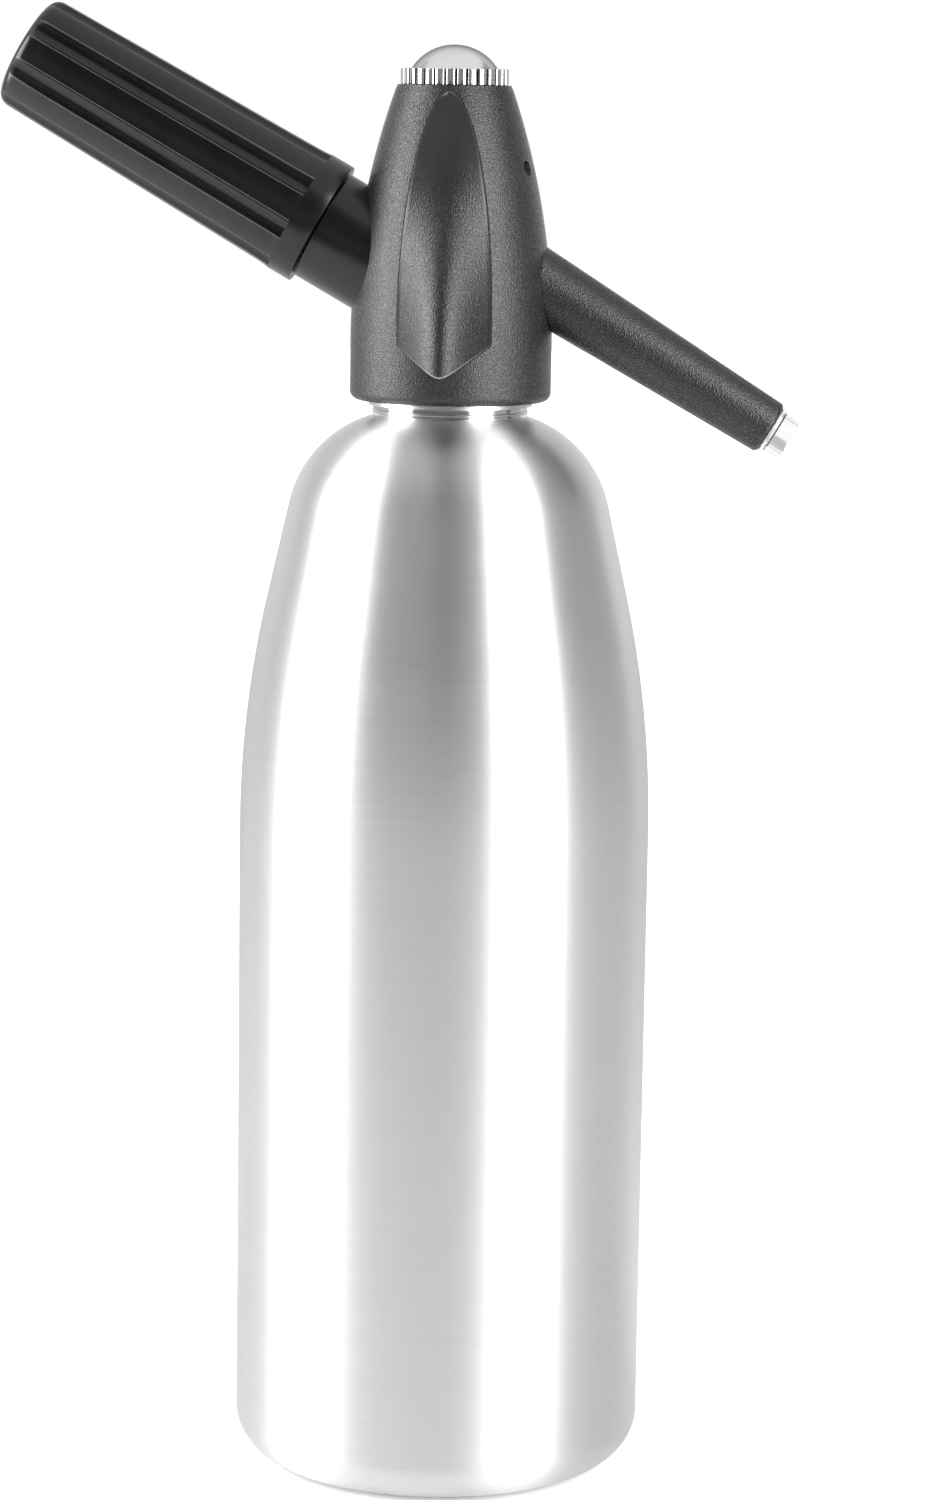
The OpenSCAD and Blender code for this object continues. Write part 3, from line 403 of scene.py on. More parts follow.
def grip_wing(name, turn, columns=56, rows=110):
    skin, wide = wing_skin(columns, rows), columns + 1
    rim = [j for j in range(columns)] + [i * wide + columns for i in range(rows)]
    rim += [rows * wide + j for j in range(columns, 0, -1)]
    rim += [i * wide for i in range(rows, 0, -1)]
    rim_points, count = [skin[k] for k in rim], len(rim)
    verts, rings = list(skin), [rim]
    for out, lift in foot_lines:
        rings.append(list(range(len(verts), len(verts) + count)))
        verts += foot_line(rim_points, out, lift)
    faces = [(i * wide + j, i * wide + j + 1, (i + 1) * wide + j + 1, (i + 1) * wide + j)
             for i in range(rows) for j in range(columns)]
    for high, low in zip(rings, rings[1:]):
        for k in range(count):
            n = (k + 1) % count
            faces.append((high[n], high[k], low[k], low[n]))
    # painted shade: the walls that run into the bullet get it fully, the rim in part
    rim_shade = [0.0] * len(skin) + [1.0] * (len(verts) - len(skin))
    # painted highlight kept at the rim's points, strongest at the foot's point and along the top
    rim_glint = [0.0] * len(verts)
    for k, (x, y, z) in zip(rim, rim_points):
        rim_shade[k] = rim_line_shade
        top = glint_side * clamp((z - wing_top_z + glint_top) / glint_run)
        point = max(0.0, 1 - abs(x) / wing_half_w)
        rim_glint[k] = max(glint_foot[0] + glint_foot[1] * point if k < wide else 0.0, top)
    place = Matrix.Rotation(turn, 4, "Z")
    return mesh_piece(name, verts, faces, place, 40, {"rim_shade": rim_shade, "rim_glint": rim_glint})


def ease_edges(piece, width, angle=40):
    """Round a piece's sharp edges with a Bevel modifier."""
    bevel = piece.modifiers.new("ease", "BEVEL")
    bevel.width, bevel.segments, bevel.limit_method = width, 3, "ANGLE"
    bevel.angle_limit = radians(angle)
    keep_result(piece)


wings = [grip_wing("wing_front", 0), grip_wing("wing_back", pi)]
for wing in wings:
    ease_edges(wing, wing_ease)
with bpy.context.temp_override(active_object=cover, object=cover,
                               selected_editable_objects=[cover] + wings):
    bpy.ops.object.join()
stand_for(cover, "head_shell", "head")
print("wing reaches out to", round(-min(v.co.y for v in cover.data.vertices) / mm, 2), "mm")

# %% Where the cover is grained
face_out, face_side, rim_band, rim_full = 0.08 * mm, 0.1 * mm, 0.45 * mm, 1.2
smooth_from, smooth_to = cover_low + 42 * mm, cover_low + 60 * mm


def on_wing(co):
    """1 for a point on a wing's face, 0 for the bullet round it."""
    out = hypot(co.x, co.y) - cover_r(min(max(co.z, cover_low), cover_top))
    return 1.0 if out > face_out and abs(co.x) < leaf_half(co.z) + face_side else 0.0


def near_rim(co):
    """1 on the rounded rim of a wing, 0 from half a millimetre inside it."""
    w = leaf_half(co.z)
    inside = min(w - abs(co.x), co.z - leaf_low(min(1.0, abs(co.x) / max(w, 1 * mm))))
    return clamp(rim_full - inside / rim_band)


def grain_at(co):
    """1 where the cover is grained, 0 on a wing's rim and at its top."""
    up = clamp((co.z - smooth_from) / (smooth_to - smooth_from))
    return 1 - on_wing(co) * max(up, near_rim(co))


grain = [grain_at(v.co) for v in cover.data.vertices]
mark_points(cover.data, "grain", grain)
print("grain set on", sum(g > 0.5 for g in grain), "of", len(grain), "points")

# %% [markdown]
# ## The knurled ring and the button
#
# The ring screws into the top of the cover, and its thirty teeth let fingers turn it.
# An Array modifier could copy one tooth, but pushing them in with the lathe's function
# keeps one closed skin. Chrome shows every kink, so the dome gets many rings of faces.

# %% Ring and button
ring_r, ring_teeth, ring_notch, ring_edge = 12.2 * mm, 30, 0.5 * mm, 0.3 * mm
tooth_round, tooth_power, slit_from, slit_run = 0.62, 2.2, 0.72, 0.16
button_r, dome_r, dome_wall, run = 10.2 * mm, 11.6 * mm, 1 * mm, 0.08 * mm
knurl_z, knurl_r = cover_top + 0.02 * mm, button_r + 0.6 * mm


def tooth(a):
    """How deep the ring is cut at an angle: a round tooth and a narrow notch."""
    part = (a * ring_teeth / (2 * pi)) % 1
    side = abs(2 * part - 1)
    slit = clamp((side - slit_from) / slit_run)
    return tooth_round * side ** tooth_power + (1 - tooth_round) * slit


def knurl(r, z, a):
    if z < knurl_z or r < knurl_r:
        return r, z
    return min(r, ring_r - ring_notch * tooth(a)), z


def notch_depth(co):
    """0 on a tooth's crest, 1 at the bottom of a notch."""
    out = hypot(co.x, co.y)
    return clamp((ring_r - out) / ring_notch) if out > ring_thread_r and co.z > cover_top else 0.0


bore, ring_low = button_r + run, low_of("bezel_ring")
ring_outline = [(bore, ring_low), (ring_thread_r, ring_low), (ring_thread_r, cover_top + fit),
                (ring_r, cover_top + fit), (ring_r, ring_top), (bore, ring_top)]
ring = lathe("knurled_ring", eased(ring_outline, ring_edge, 4), sections=720, shape=knurl)
# painted shade: the notch depth kept here darkens the chrome in the notches
mark_points(ring.data, "notch", [notch_depth(v.co) for v in ring.data.vertices])
stand_for(ring, "bezel_ring", "head")

dome_cz, dome_low = dome_top - dome_r, low_of("button_dome")
cap_in_r, dome_in_r = button_r - dome_wall, dome_r - dome_wall
out_a, in_a = (degrees(acos(a)) for a in (button_r / dome_r, cap_in_r / dome_in_r))
dome_outline = [(button_r, dome_low)] + arc(0, dome_cz, dome_r, out_a, 90, 36)
dome_outline += arc(0, dome_cz, dome_in_r, 90, in_a, 18) + [(cap_in_r, dome_low)]
button = lathe("button_cap", dome_outline, sections=160)
stand_for(button, "button_dome", "button")

# %% [markdown]
# ## The charger's socket and its holder
#
# The holder is the sleeve that takes the gas charger. Its eight flutes are round cuts
# that run out through the end, with a flat wall near the collar. Cutting them with
# Booleans leaves long thin faces that shade badly. So the skin is one grid round the
# axis: each column knows how deep the flute is there and where the cut meets the
# rounded end.

# %% Socket
# places along the charger's axis are counted from the main axis
socket_in, socket_out, stub_r, stub_len = 16 * mm, 34 * mm, 11 * mm, 16 * mm
stub_end, recess_r, chamber_r, gas_r = socket_out + stub_len, 4.85 * mm, 4.1 * mm, 1.2 * mm
seat_s, filter_s, spigot_s, spigot_r = stub_end - 12 * mm, 24 * mm, 11 * mm + fit, 5 * mm
seal_w, seal_depth, socket_ease = 1.2 * mm, 1.5 * mm, 0.35 * mm
stub_low, stub_high, stub_rows = socket_out + 1.5 * mm, stub_end - 1.2 * mm, 64
stub_thread = thread(stub_r, stub_low, stub_high, pitch=2.5 * mm, depth=0.7 * mm, run_in=1 * mm)


def socket_outline():
    seal_r, seal_s = spigot_r + seal_w, socket_in + seal_depth
    corners = [(gas_r, spigot_s), (spigot_r, spigot_s), (spigot_r, socket_in),
               (spigot_r, seal_s), (seal_r, seal_s), (seal_r, socket_in),
               (socket_r, socket_in), (socket_r, socket_out), (stub_r, socket_out),
               (stub_r, stub_end), (recess_r, stub_end), (recess_r, seat_s),
               (chamber_r, seat_s), (chamber_r, filter_s), (gas_r, filter_s)]
    line = eased(corners, socket_ease)
    start = 1 + max(i for i, (r, s) in enumerate(line) if abs(r - stub_r) < 1e-7 and s < stub_low)
    rows = [(stub_r, s) for s in between(stub_low, stub_high, stub_rows)]
    return line[:start] + rows + line[start:]


socket = lathe("charger_neck", socket_outline(), charger_axis, shape=stub_thread)
stand_for(socket, "charger_socket", "head")

# %% Holder
rim_s, collar, rim_r, end_r = 34.3 * mm, 5.6 * mm, 14.7 * mm, 13.25 * mm
charger_reach, floor_gap, floor_t, end_bevel = 75.25 * mm, 0.16 * mm, 2.4 * mm, 1.4 * mm
holder_floor = rim_s + charger_reach + floor_gap
holder_end, floor_cone = holder_floor + floor_t, 3 * mm
end_from, end_to = holder_end - 3.5 * mm, holder_end + 0.8 * mm
flute_start, flute_top_r, collar_fade = rim_s + collar, rim_r - 0.25 * mm, 1.2 * mm
flute_r, flute_depth, flutes, first_flute = 3.4 * mm, 1.15 * mm, 8, radians(28)
flute_columns, land_columns, closer = 18, 10, 1.8
end_round, end_drop, end_crown, end_meet = 2.7 * mm, 2.6 * mm, 0.6 * mm, radians(80)
crown_r, rim_edge, holder_ease = end_r - 3.4 * mm, 0.15 * mm, 0.3 * mm
# painted highlight: the first four numbers say where the flute edges and ends turn light grey
glint_r, glint_t, end_glint, at_end = end_r - 0.7 * mm, 0.99, 0.85, 0.01 * mm
thread_r, bore_r, thread_end = stub_r + 0.08 * mm, 9.6 * mm, stub_end + 1 * mm


def sleeve_r(s):
    """Radius of the sleeve's cone between the flutes; it leaves the collar in a soft step."""
    part = (s - flute_start) / (holder_end - end_bevel - flute_start)
    step = (rim_r - flute_top_r) * exp(-max(0.0, s - flute_start) / collar_fade)
    return flute_top_r + (end_r - flute_top_r) * part + step


def flute_edge(s):
    """Half the angle of a flute where it meets the sleeve."""
    r, c = sleeve_r(s), sleeve_r(s) + flute_r - flute_depth
    return acos((r * r + c * c - flute_r * flute_r) / (2 * r * c))


def skin_r(s, t, inside):
    """Radius of the skin, t from 0 at a flute's middle to 1 at its edge."""
    if not inside:
        return sleeve_r(s)
    a, c = flute_edge(s) * t, sleeve_r(s) + flute_r - flute_depth
    return c * cos(a) - sqrt(max(0.0, flute_r ** 2 - (c * sin(a)) ** 2))


def end_height(r):
    """Height of the closed end at a radius: a rounded edge, then a low crown."""
    low, edge_in = holder_end - end_drop, end_r - end_round
    meet = edge_in + end_round * cos(end_meet)
    if r > meet:
        return low + end_round * sqrt(max(0.0, 1 - ((r - edge_in) / end_round) ** 2))
    return low + end_round * sin(end_meet) + end_crown * (1 - (r / meet) ** 2)


def holder_columns():
    """(middle of the flute, place in the flute or on the land, inside) of every column."""
    columns = []
    for k in range(flutes):
        middle = first_flute + k * 2 * pi / flutes
        columns += [(middle, t, True) for t in between(-1, 1, flute_columns)]
        columns += [(middle, t, False) for t in between(0, 1, land_columns)[1:-1]]
    return columns


def column_angle(middle, t, inside, s):
    edge = flute_edge(s)
    if inside:
        return middle + edge * t
    return middle + edge + (2 * pi / flutes - 2 * edge) * t


def meets_end(t, inside):
    """How far along the axis a column leaves the sleeve for the rounded end."""
    low, high = end_from, end_to
    for _ in range(40):
        s = (low + high) / 2
        if end_height(skin_r(min(s, holder_end), abs(t), inside)) > s:
            low = s
        else:
            high = s
    return low


def column_line(middle, t, inside, stop, long_rows=30, end_rows=9, cap_rows=10):
    """(radius, place, angle) down one column, from the bore to the end's middle."""
    lines = [(bore_r - floor_cone, holder_floor), (bore_r, holder_floor - floor_cone),
             (bore_r, thread_end + thread_r - bore_r), (thread_r, thread_end), (thread_r, rim_s)]
    lines += arc(rim_r - rim_edge, rim_s + rim_edge, rim_edge, 270, 360, 3)
    lines += [(rim_r, rim_s + collar / 2), (rim_r, flute_start - 0.02 * mm)]
    angle = column_angle(middle, t, inside, flute_start)
    line = [(r, s, angle) for r, s in lines]
    for i in range(long_rows + 1):
        s = flute_start + (stop - flute_start) * (i / long_rows) ** closer
        on = min(s, holder_end)
        line.append((skin_r(on, abs(t), inside), s, column_angle(middle, t, inside, on)))
    edge, _, angle = line[-1]
    radii = [edge + (crown_r - edge) * (i / end_rows) ** closer for i in range(1, end_rows + 1)]
    radii += [crown_r * (1 - i / cap_rows) for i in range(1, cap_rows)]
    return line + [(r, end_height(r), angle) for r in radii]


def edge_glint(r, s, t, inside, stop):
    """How much painted highlight a point gets: the most where a flute's edge meets the sleeve or the end."""
    if inside and abs(t) > glint_t and s >= flute_start and r > glint_r:
        return 1.0
    return end_glint if inside and min(abs(s - stop), abs(s - flute_start)) < at_end else 0.0


def holder_mesh():
    verts, glints, grid = [], [], []
    for middle, t, inside in holder_columns():
        stop = meets_end(t, inside)
        line = column_line(middle, t, inside, stop)
        grid.append(list(range(len(verts), len(verts) + len(line))))
        verts += [(r * cos(a), r * sin(a), s) for r, s, a in line]
        glints += [edge_glint(r, s, t, inside, stop) for r, s, a in line]
    floor, tip = len(verts), len(verts) + 1
    verts += [(0, 0, holder_floor), (0, 0, end_height(0))]
    glints, faces = glints + [0.0, 0.0], []
    for here, after in zip(grid, grid[1:] + grid[:1]):
        faces += [(here[i], after[i], after[i + 1], here[i + 1]) for i in range(len(here) - 1)]
        faces += [(floor, after[0], here[0]), (here[-1], after[-1], tip)]
    # the numbers kept as edge are painted highlight on the flute edges and ends
    return verts, faces, {"edge": glints}


verts, faces, marks = holder_mesh()
holder = mesh_piece("charger_sleeve", verts, faces, charger_axis, 24, marks)
ease_edges(holder, holder_ease, angle=24)
stand_for(holder, "charger_holder", "holder")

# %% [markdown]
# ## The spout and its clear tip
#
# The spout is a plain cone of grained plastic with a rounded end, and the tip is a
# clear tube with a thin flange. Both are spun on the spout's axis. The tip needs real
# inner walls, because clear plastic shows the soda duct behind it.

# %% Spout and tip
spout_start, spout_len, spout_end_r, spout_edge = 18.5 * mm, 85.3 * mm, 6.2 * mm, 1.2 * mm
duct_start, duct_end, duct_r = 12.6 * mm + fit, 78.3 * mm, 4 * mm + fit
foot_r, foot_chamfer, tip_start, tip_r = 5.4 * mm, 0.4 * mm, 76.3 * mm, 4.9 * mm
slope = (spout_root_r - spout_end_r) / (spout_len - spout_start)
spout_outline = [(duct_r, duct_start), (foot_r - foot_chamfer, duct_start),
                 (foot_r, duct_start + foot_chamfer), (foot_r, spout_start),
                 (spout_root_r, spout_start)]
spout_outline += arc(spout_end_r + slope * spout_edge - spout_edge, spout_len - spout_edge,
                     spout_edge, 0, 90, 10)
spout_outline += [(tip_r + fit, spout_len), (tip_r + fit, tip_start - fit),
                  (duct_r, tip_start - fit)]
spout = lathe("spout", spout_outline, spout_axis, sections=160)
mark_points(spout.data, "grain", [1.0] * len(spout.data.vertices))
stand_for(spout, "spout_tube", "head")

tip_end, tip_out_r, tip_bore, tip_edge = spout_len + 5 * mm, 4.7 * mm, 3.2 * mm, 0.5 * mm
flange_r, flange_low, flange_high = 5.5 * mm, spout_len + 0.9 * mm, spout_len + 1.2 * mm
groove_end, groove_r = spout_len - 4 * mm, tip_r - 0.7 * mm
groove_start = groove_end - 1.6 * mm
tip_outline = [(duct_r, tip_start), (tip_r, tip_start), (tip_r, groove_start),
               (groove_r, groove_start), (groove_r, groove_end), (tip_r, groove_end),
               (tip_r, spout_len + fit), (flange_r, spout_len + fit), (flange_r, flange_low),
               (tip_r, flange_high)]
tip_outline += arc(tip_out_r - tip_edge, tip_end - tip_edge, tip_edge, 0, 90, 6)
tip_outline += [(tip_bore, tip_end), (tip_bore, duct_end + fit), (duct_r, duct_end + fit)]
tip = lathe("spout_tip", eased(tip_outline, 0.15 * mm, 2, sharp=40), spout_axis, sections=128)
stand_for(tip, "spout_nozzle", "head")

# %% [markdown]
# ## Building a finish from nodes
#
# Metal shows its brushing, plastic its mould grain, and both have small changes in
# gloss. Image textures would need files and unwrapping. Noise that reads the piece's own
# coordinates needs neither, and moves with the piece. A few helpers add the nodes, so
# that each finish below stays short.

# %% Helpers for finishes
class Nodes:
    """The nodes of a material or a world, and short ways to add to them."""

    def __init__(self, owner):
        owner.use_nodes = True
        self.owner, self.tree = owner, owner.node_tree
        self.tree.nodes.clear()

    def feed(self, made, key, value):
        """Give an input a value or another node's output."""
        if isinstance(value, bpy.types.NodeSocket):
            self.tree.links.new(value, made.inputs[key])
        else:
            made.inputs[key].default_value = value

    def node(self, kind, inputs=(), **settings):
        made = self.tree.nodes.new("ShaderNode" + kind)
        for key, value in settings.items():
            setattr(made, key, value)
        for key, value in dict(inputs).items():
            self.feed(made, key, value)
        return made

    def own_place(self, scale=(1, 1, 1), turn=(0, 0, 0), move=(0, 0, 0), source="Object"):
        """The piece's own coordinates in metres, stretched by a scale."""
        where = self.node("TexCoord").outputs[source]
        return self.node("Mapping", {"Vector": where, "Scale": scale, "Rotation": turn,
                                     "Location": move}).outputs["Vector"]

    def split(self, vector):
        return self.node("SeparateXYZ", {"Vector": vector}).outputs

    def vector(self, x, y, z=0.0):
        return self.node("CombineXYZ", {"X": x, "Y": y, "Z": z}).outputs[0]

    def noise(self, place, scale, detail, roughness=0.5):
        return self.node("TexNoise", {"Vector": place, "Scale": scale, "Detail": detail,
                                      "Roughness": roughness}).outputs["Fac"]

    def painted(self, name):
        """The number that was kept at the points under a name."""
        return self.node("Attribute", attribute_name=name).outputs["Fac"]

    def calc(self, operation, a, b):
        return self.node("Math", {0: a, 1: b}, operation=operation).outputs[0]

    def length(self, vector):
        return self.node("VectorMath", {0: vector}, operation="LENGTH").outputs["Value"]

    def spread(self, value, low, high, start=0.3, stop=0.7):
        """Spread a value between start and stop over a range of roughness or strength."""
        return self.node("MapRange", {"Value": value, "From Min": start, "From Max": stop,
                                      "To Min": low, "To Max": high}).outputs["Result"]

    def tint(self, value, dark, light):
        """A colour between two shades, by a noise value."""
        ramp = self.node("ValToRGB", {"Fac": value})
        for stop, place, shade in zip(ramp.color_ramp.elements, (0.35, 0.65), (dark, light)):
            stop.position, stop.color = place, (*shade, 1)
        return ramp.outputs["Color"]

    def over(self, share, under, top):
        """One colour over another, the top one where share is 1."""
        return self.node("MixRGB", {"Fac": share, "Color1": under, "Color2": top}).outputs["Color"]

    def fed(self, colour, roughness, height, depth):
        """Feed the colour, roughness and height to the shader, and give the material."""
        lift = self.node("Bump", {"Height": height, "Distance": depth, "Strength": 1.0})
        self.feed(self.skin, "Base Color", colour)
        self.feed(self.skin, "Roughness", roughness)
        self.feed(self.skin, "Normal", lift.outputs["Normal"])
        return self.owner

    def mottled(self, shades, cloud, fine, low, high, depth):
        """The colour follows one noise, and gloss and height another."""
        return self.fed(self.tint(cloud, *shades), self.spread(fine, low, high), fine, depth)


def finish(name, **sockets):
    """The nodes of a new material with a Principled shader, its skin."""
    f = Nodes(bpy.data.materials.new(name))
    values = {key.replace("_", " "): value for key, value in sockets.items()}
    f.skin = f.node("BsdfPrincipled", values)
    f.node("OutputMaterial", {"Surface": f.skin.outputs["BSDF"]})
    return f


def wear(piece, *materials):
    piece.data.materials.clear()
    for material in materials:
        piece.data.materials.append(material)


# %% [markdown]
# ## Brushed aluminium
#
# The bottle was brushed while it spun, so its scratches run round it. That spreads a
# reflection up and down but leaves its sides crisp, which is why the photograph shows
# sharp upright bands. The Principled shader does this with its anisotropy along a
# tangent round Z. Fine streaks in colour, gloss and height go with it.

# %% Brushed aluminium
streaks_per_m, streak_side, cloud_scale = 5200, (30, 30, 1), (14, 14, 7)
metal_dark, metal_light = (0.747, 0.739, 0.751), (0.790, 0.782, 0.794)
# painted shade: a brownish grey and the heights over which it fades, for a painted contact shadow along the
# bottle's foot
contact_shade_grey, contact_shade_from, contact_shade_to = (0.36, 0.33, 0.31, 1), 0.3 * mm, 1.5 * mm


def brushed_aluminium(name, low, high, spread_out):
    f = finish(name, Metallic=1.0, Anisotropic=spread_out, Anisotropic_Rotation=0.25)
    side = f.split(f.own_place(streak_side))
    fine = f.calc("MULTIPLY", f.painted("along"), streaks_per_m)
    lines = f.vector(side["X"], side["Y"], fine)
    streak = f.noise(lines, 1.0, 4.0, 0.6)
    cloud = f.noise(f.own_place(cloud_scale), 1.0, 2.0)
    # painted shade: the lowest 1.5 mm of the bottle darkens towards that grey, a painted contact shadow
    painted_contact_shade = f.spread(f.split(f.own_place())["Z"], 1, 0, contact_shade_from, contact_shade_to)
    colour = f.over(painted_contact_shade, f.tint(streak, metal_dark, metal_light), contact_shade_grey)
    gloss = f.spread(f.calc("ADD", streak, cloud), low, high, 0.7, 1.3)
    tangent = f.node("Tangent", direction_type="RADIAL", axis="Z")
    f.feed(f.skin, "Tangent", tangent.outputs["Tangent"])
    return f.fed(colour, gloss, streak, 0.003 * mm)


wear(bottle, brushed_aluminium("brushed_aluminium", 0.37, 0.45, 0.9),
     brushed_aluminium("turned_aluminium", 0.13, 0.18, 0.4))
neck_low, neck_out = fillet_z - 0.3 * mm, neck_r + 0.5 * mm
for face in bottle.data.polygons:
    if face.center.z > neck_low and face.center.xy.length < neck_out:
        face.material_index = 1
neck_faces = sum(face.material_index for face in bottle.data.polygons)
print("bottle brushed,", neck_faces, "faces of the neck turned")

# %% [markdown]
# ## Black plastics
#
# The cover and spout have a fine leather grain from an etched mould, which breaks their
# gloss into a soft sheen. The socket and holder came from a polished mould. A cell
# pattern mixed with noise gives the grain, and a number kept at the points fades it
# where the wing's top is smooth.

# %% Black plastics
deep_black, mould_black = (0.003, 0.003, 0.0032), (0.005, 0.005, 0.0054)
# the second black is painted shade at the wing's rim and foot
wing_black, rim_shade_black = (0.024, 0.0235, 0.024, 1), (0.002, 0.002, 0.002, 1)
# the second grey is a painted highlight on the wing's rim
speck_grey, glint_grey = (0.045, 0.045, 0.046, 1), (0.42, 0.42, 0.42, 1)
satin_dark, satin_light = (0.004, 0.004, 0.0043), (0.006, 0.006, 0.0063)
# the first grey is a painted highlight on the holder's flute edges
glint_edge_grey, leather_scale, cell_scale = (0.12, 0.12, 0.12, 1), 2600.0, 3000.0


def grained_black():
    f = finish("grained_black", IOR=1.58)
    place = f.own_place()
    leather = f.noise(place, leather_scale, 3.0, 0.65)
    cloud = f.noise(place, 90.0, 2.0)
    grained, rim_shade = f.painted("grain"), f.painted("rim_shade")
    cells = f.node("TexVoronoi", {"Vector": place, "Scale": cell_scale, "Smoothness": 0.4},
                   feature="SMOOTH_F1").outputs["Distance"]
    pits = f.calc("MULTIPLY", f.calc("ADD", cells, leather), grained)
    speck = f.calc("MULTIPLY", f.spread(leather, 0, 1, 0.5, 0.68), grained)
    colour = f.over(grained, wing_black, f.tint(cloud, deep_black, mould_black))
    colour = f.over(speck, colour, speck_grey)
    # painted highlight: light grey along the wing's rim at its foot and its top
    colour = f.over(f.spread(f.painted("rim_glint"), 0, 1, 0.25, 0.9), colour, glint_grey)
    # painted shade: near-black at the wing's rim and at the walls round its foot
    colour = f.over(f.spread(rim_shade, 0, 1, 0.15, 0.6), colour, rim_shade_black)
    groove = f.calc("MULTIPLY", f.spread(leather, 0.19, -0.03, 0.35, 0.62), grained)
    gloss = f.calc("ADD", groove, f.spread(cloud, 0.24, 0.27))
    dull = f.calc("ADD", gloss, f.spread(rim_shade, 0, 0.5, 0.1, 0.6))
    return f.fed(colour, dull, pits, 0.08 * mm)


def satin_black(name, low, high):
    f = finish(name, IOR=1.5)
    place = f.own_place()
    cloud = f.noise(place, 60.0, 3.0)
    # painted highlight: the points kept as edge are lightened towards grey
    painted_glint = f.spread(f.painted("edge"), 0, 0.8, 0.6, 1)
    colour = f.over(painted_glint, f.tint(cloud, satin_dark, satin_light), glint_edge_grey)
    gloss = f.spread(cloud, low, high)
    return f.fed(colour, gloss, f.noise(place, leather_scale, 2.0), 0.006 * mm)


grained = grained_black()
wear(cover, grained)
wear(spout, grained)
wear(socket, satin_black("socket_black", 0.18, 0.25))
wear(holder, satin_black("holder_black", 0.17, 0.24))
print("black plastics set")

# %% [markdown]
# ## Chrome and clear plastic
#
# Chrome plate is a mirror with a little waviness from the metal under it, and handling
# leaves a faint haze. Clear plastic bends light through its walls. Both would look dead
# as perfect surfaces, so a low noise moves their gloss and their height a little.

# %% Chrome and clear plastic
chrome_dark, chrome_light = (0.88, 0.885, 0.88), (0.92, 0.925, 0.92)
# the near-black is painted shade in the ring's notches
chrome_rim, notch_shade_black = (0.35, 0.35, 0.36, 1), (0.02, 0.02, 0.021, 1)
clear_shades = (0.965, 0.975, 0.975), (0.985, 0.99, 0.99)


def chrome_plate(name, shade_notches=False):
    f = finish(name, Metallic=1.0, Specular_Tint=chrome_rim)
    place = f.own_place()
    haze, wave = f.noise(place, 220.0, 4.0), f.noise(place, 120.0, 1.0)
    plate, gloss = f.tint(haze, chrome_dark, chrome_light), f.spread(haze, 0.04, 0.09)
    if shade_notches:
        # painted shade: the chrome turns near-black and duller towards the bottom of each notch
        notch_shade = f.spread(f.painted("notch"), 0, 1, 0.3, 0.8)
        plate = f.over(notch_shade, plate, notch_shade_black)
        gloss = f.calc("ADD", gloss, f.spread(notch_shade, 0, 0.3, 0, 1))
    return f.fed(plate, gloss, wave, 0.01 * mm)


def clear_plastic():
    f = finish("clear_plastic", Transmission_Weight=1.0, IOR=1.16)
    haze = f.noise(f.own_place(), 300.0, 3.0)
    return f.mottled(clear_shades, haze, haze, 0.06, 0.12, 0.005 * mm)


wear(ring, chrome_plate("ring_chrome", shade_notches=True))
wear(button, chrome_plate("button_chrome"))
wear(tip, clear_plastic())
print("chrome and clear plastic set")

# %% [markdown]
# ## The pieces inside
#
# The solids of the valve, the tubes and the springs have their right shape already, so
# they only get a finish, by the record's material slot. Turned metal shows fine rings
# round its axis, so its noise reads the distance from that axis and the place along it.
# Rubber and moulded plastic get a dull mottle, and the filter a porous grain.

# %% Finishes of the inner pieces
steel = (0.56, 0.57, 0.58), (0.64, 0.65, 0.66)
satin_metal = (0.66, 0.67, 0.68), (0.74, 0.75, 0.76)
brass = (0.72, 0.53, 0.25), (0.80, 0.60, 0.31)
bronze = (0.52, 0.40, 0.22), (0.30, 0.22, 0.12)
natural = (0.78, 0.78, 0.73), (0.84, 0.84, 0.80)
clouded = (0.76, 0.80, 0.79), (0.83, 0.87, 0.86)
white = (0.78, 0.76, 0.69), (0.84, 0.82, 0.75)
core = (0.028, 0.028, 0.031), (0.038, 0.038, 0.042)
seal = (0.020, 0.020, 0.021), (0.034, 0.034, 0.035)
gasket = (0.66, 0.64, 0.58), (0.73, 0.71, 0.65)


def moulded(name, shades, low, high, grain_size=0.6 * mm, depth=0.01 * mm, **sockets):
    f = finish(name, **sockets)
    place = f.own_place()
    fine, cloud = f.noise(place, 1 / grain_size, 3.0), f.noise(place, 150.0, 2.0)
    return f.mottled(shades, cloud, fine, low, high, depth)


def turned_metal(name, shades, low, high, place=Matrix()):
    """Metal turned on a lathe, its fine rings round the axis of place."""
    f = finish(name, Metallic=1.0)
    back = place.inverted()
    where = f.own_place(turn=back.to_euler(), move=back.to_translation())
    part = f.split(where)
    rings = f.vector(f.length(f.vector(part["X"], part["Y"])), part["Z"])
    lines, cloud = f.noise(rings, 3800.0, 3.0), f.noise(where, 200.0, 2.0)
    return f.mottled(shades, cloud, lines, low, high, 0.008 * mm)


def sintered_bronze():
    f = finish("sintered_bronze", Metallic=1.0)
    balls = f.node("TexVoronoi", {"Vector": f.own_place(), "Scale": 3200.0}).outputs["Distance"]
    return f.mottled(bronze, balls, balls, 0.35, 0.6, -0.08 * mm)


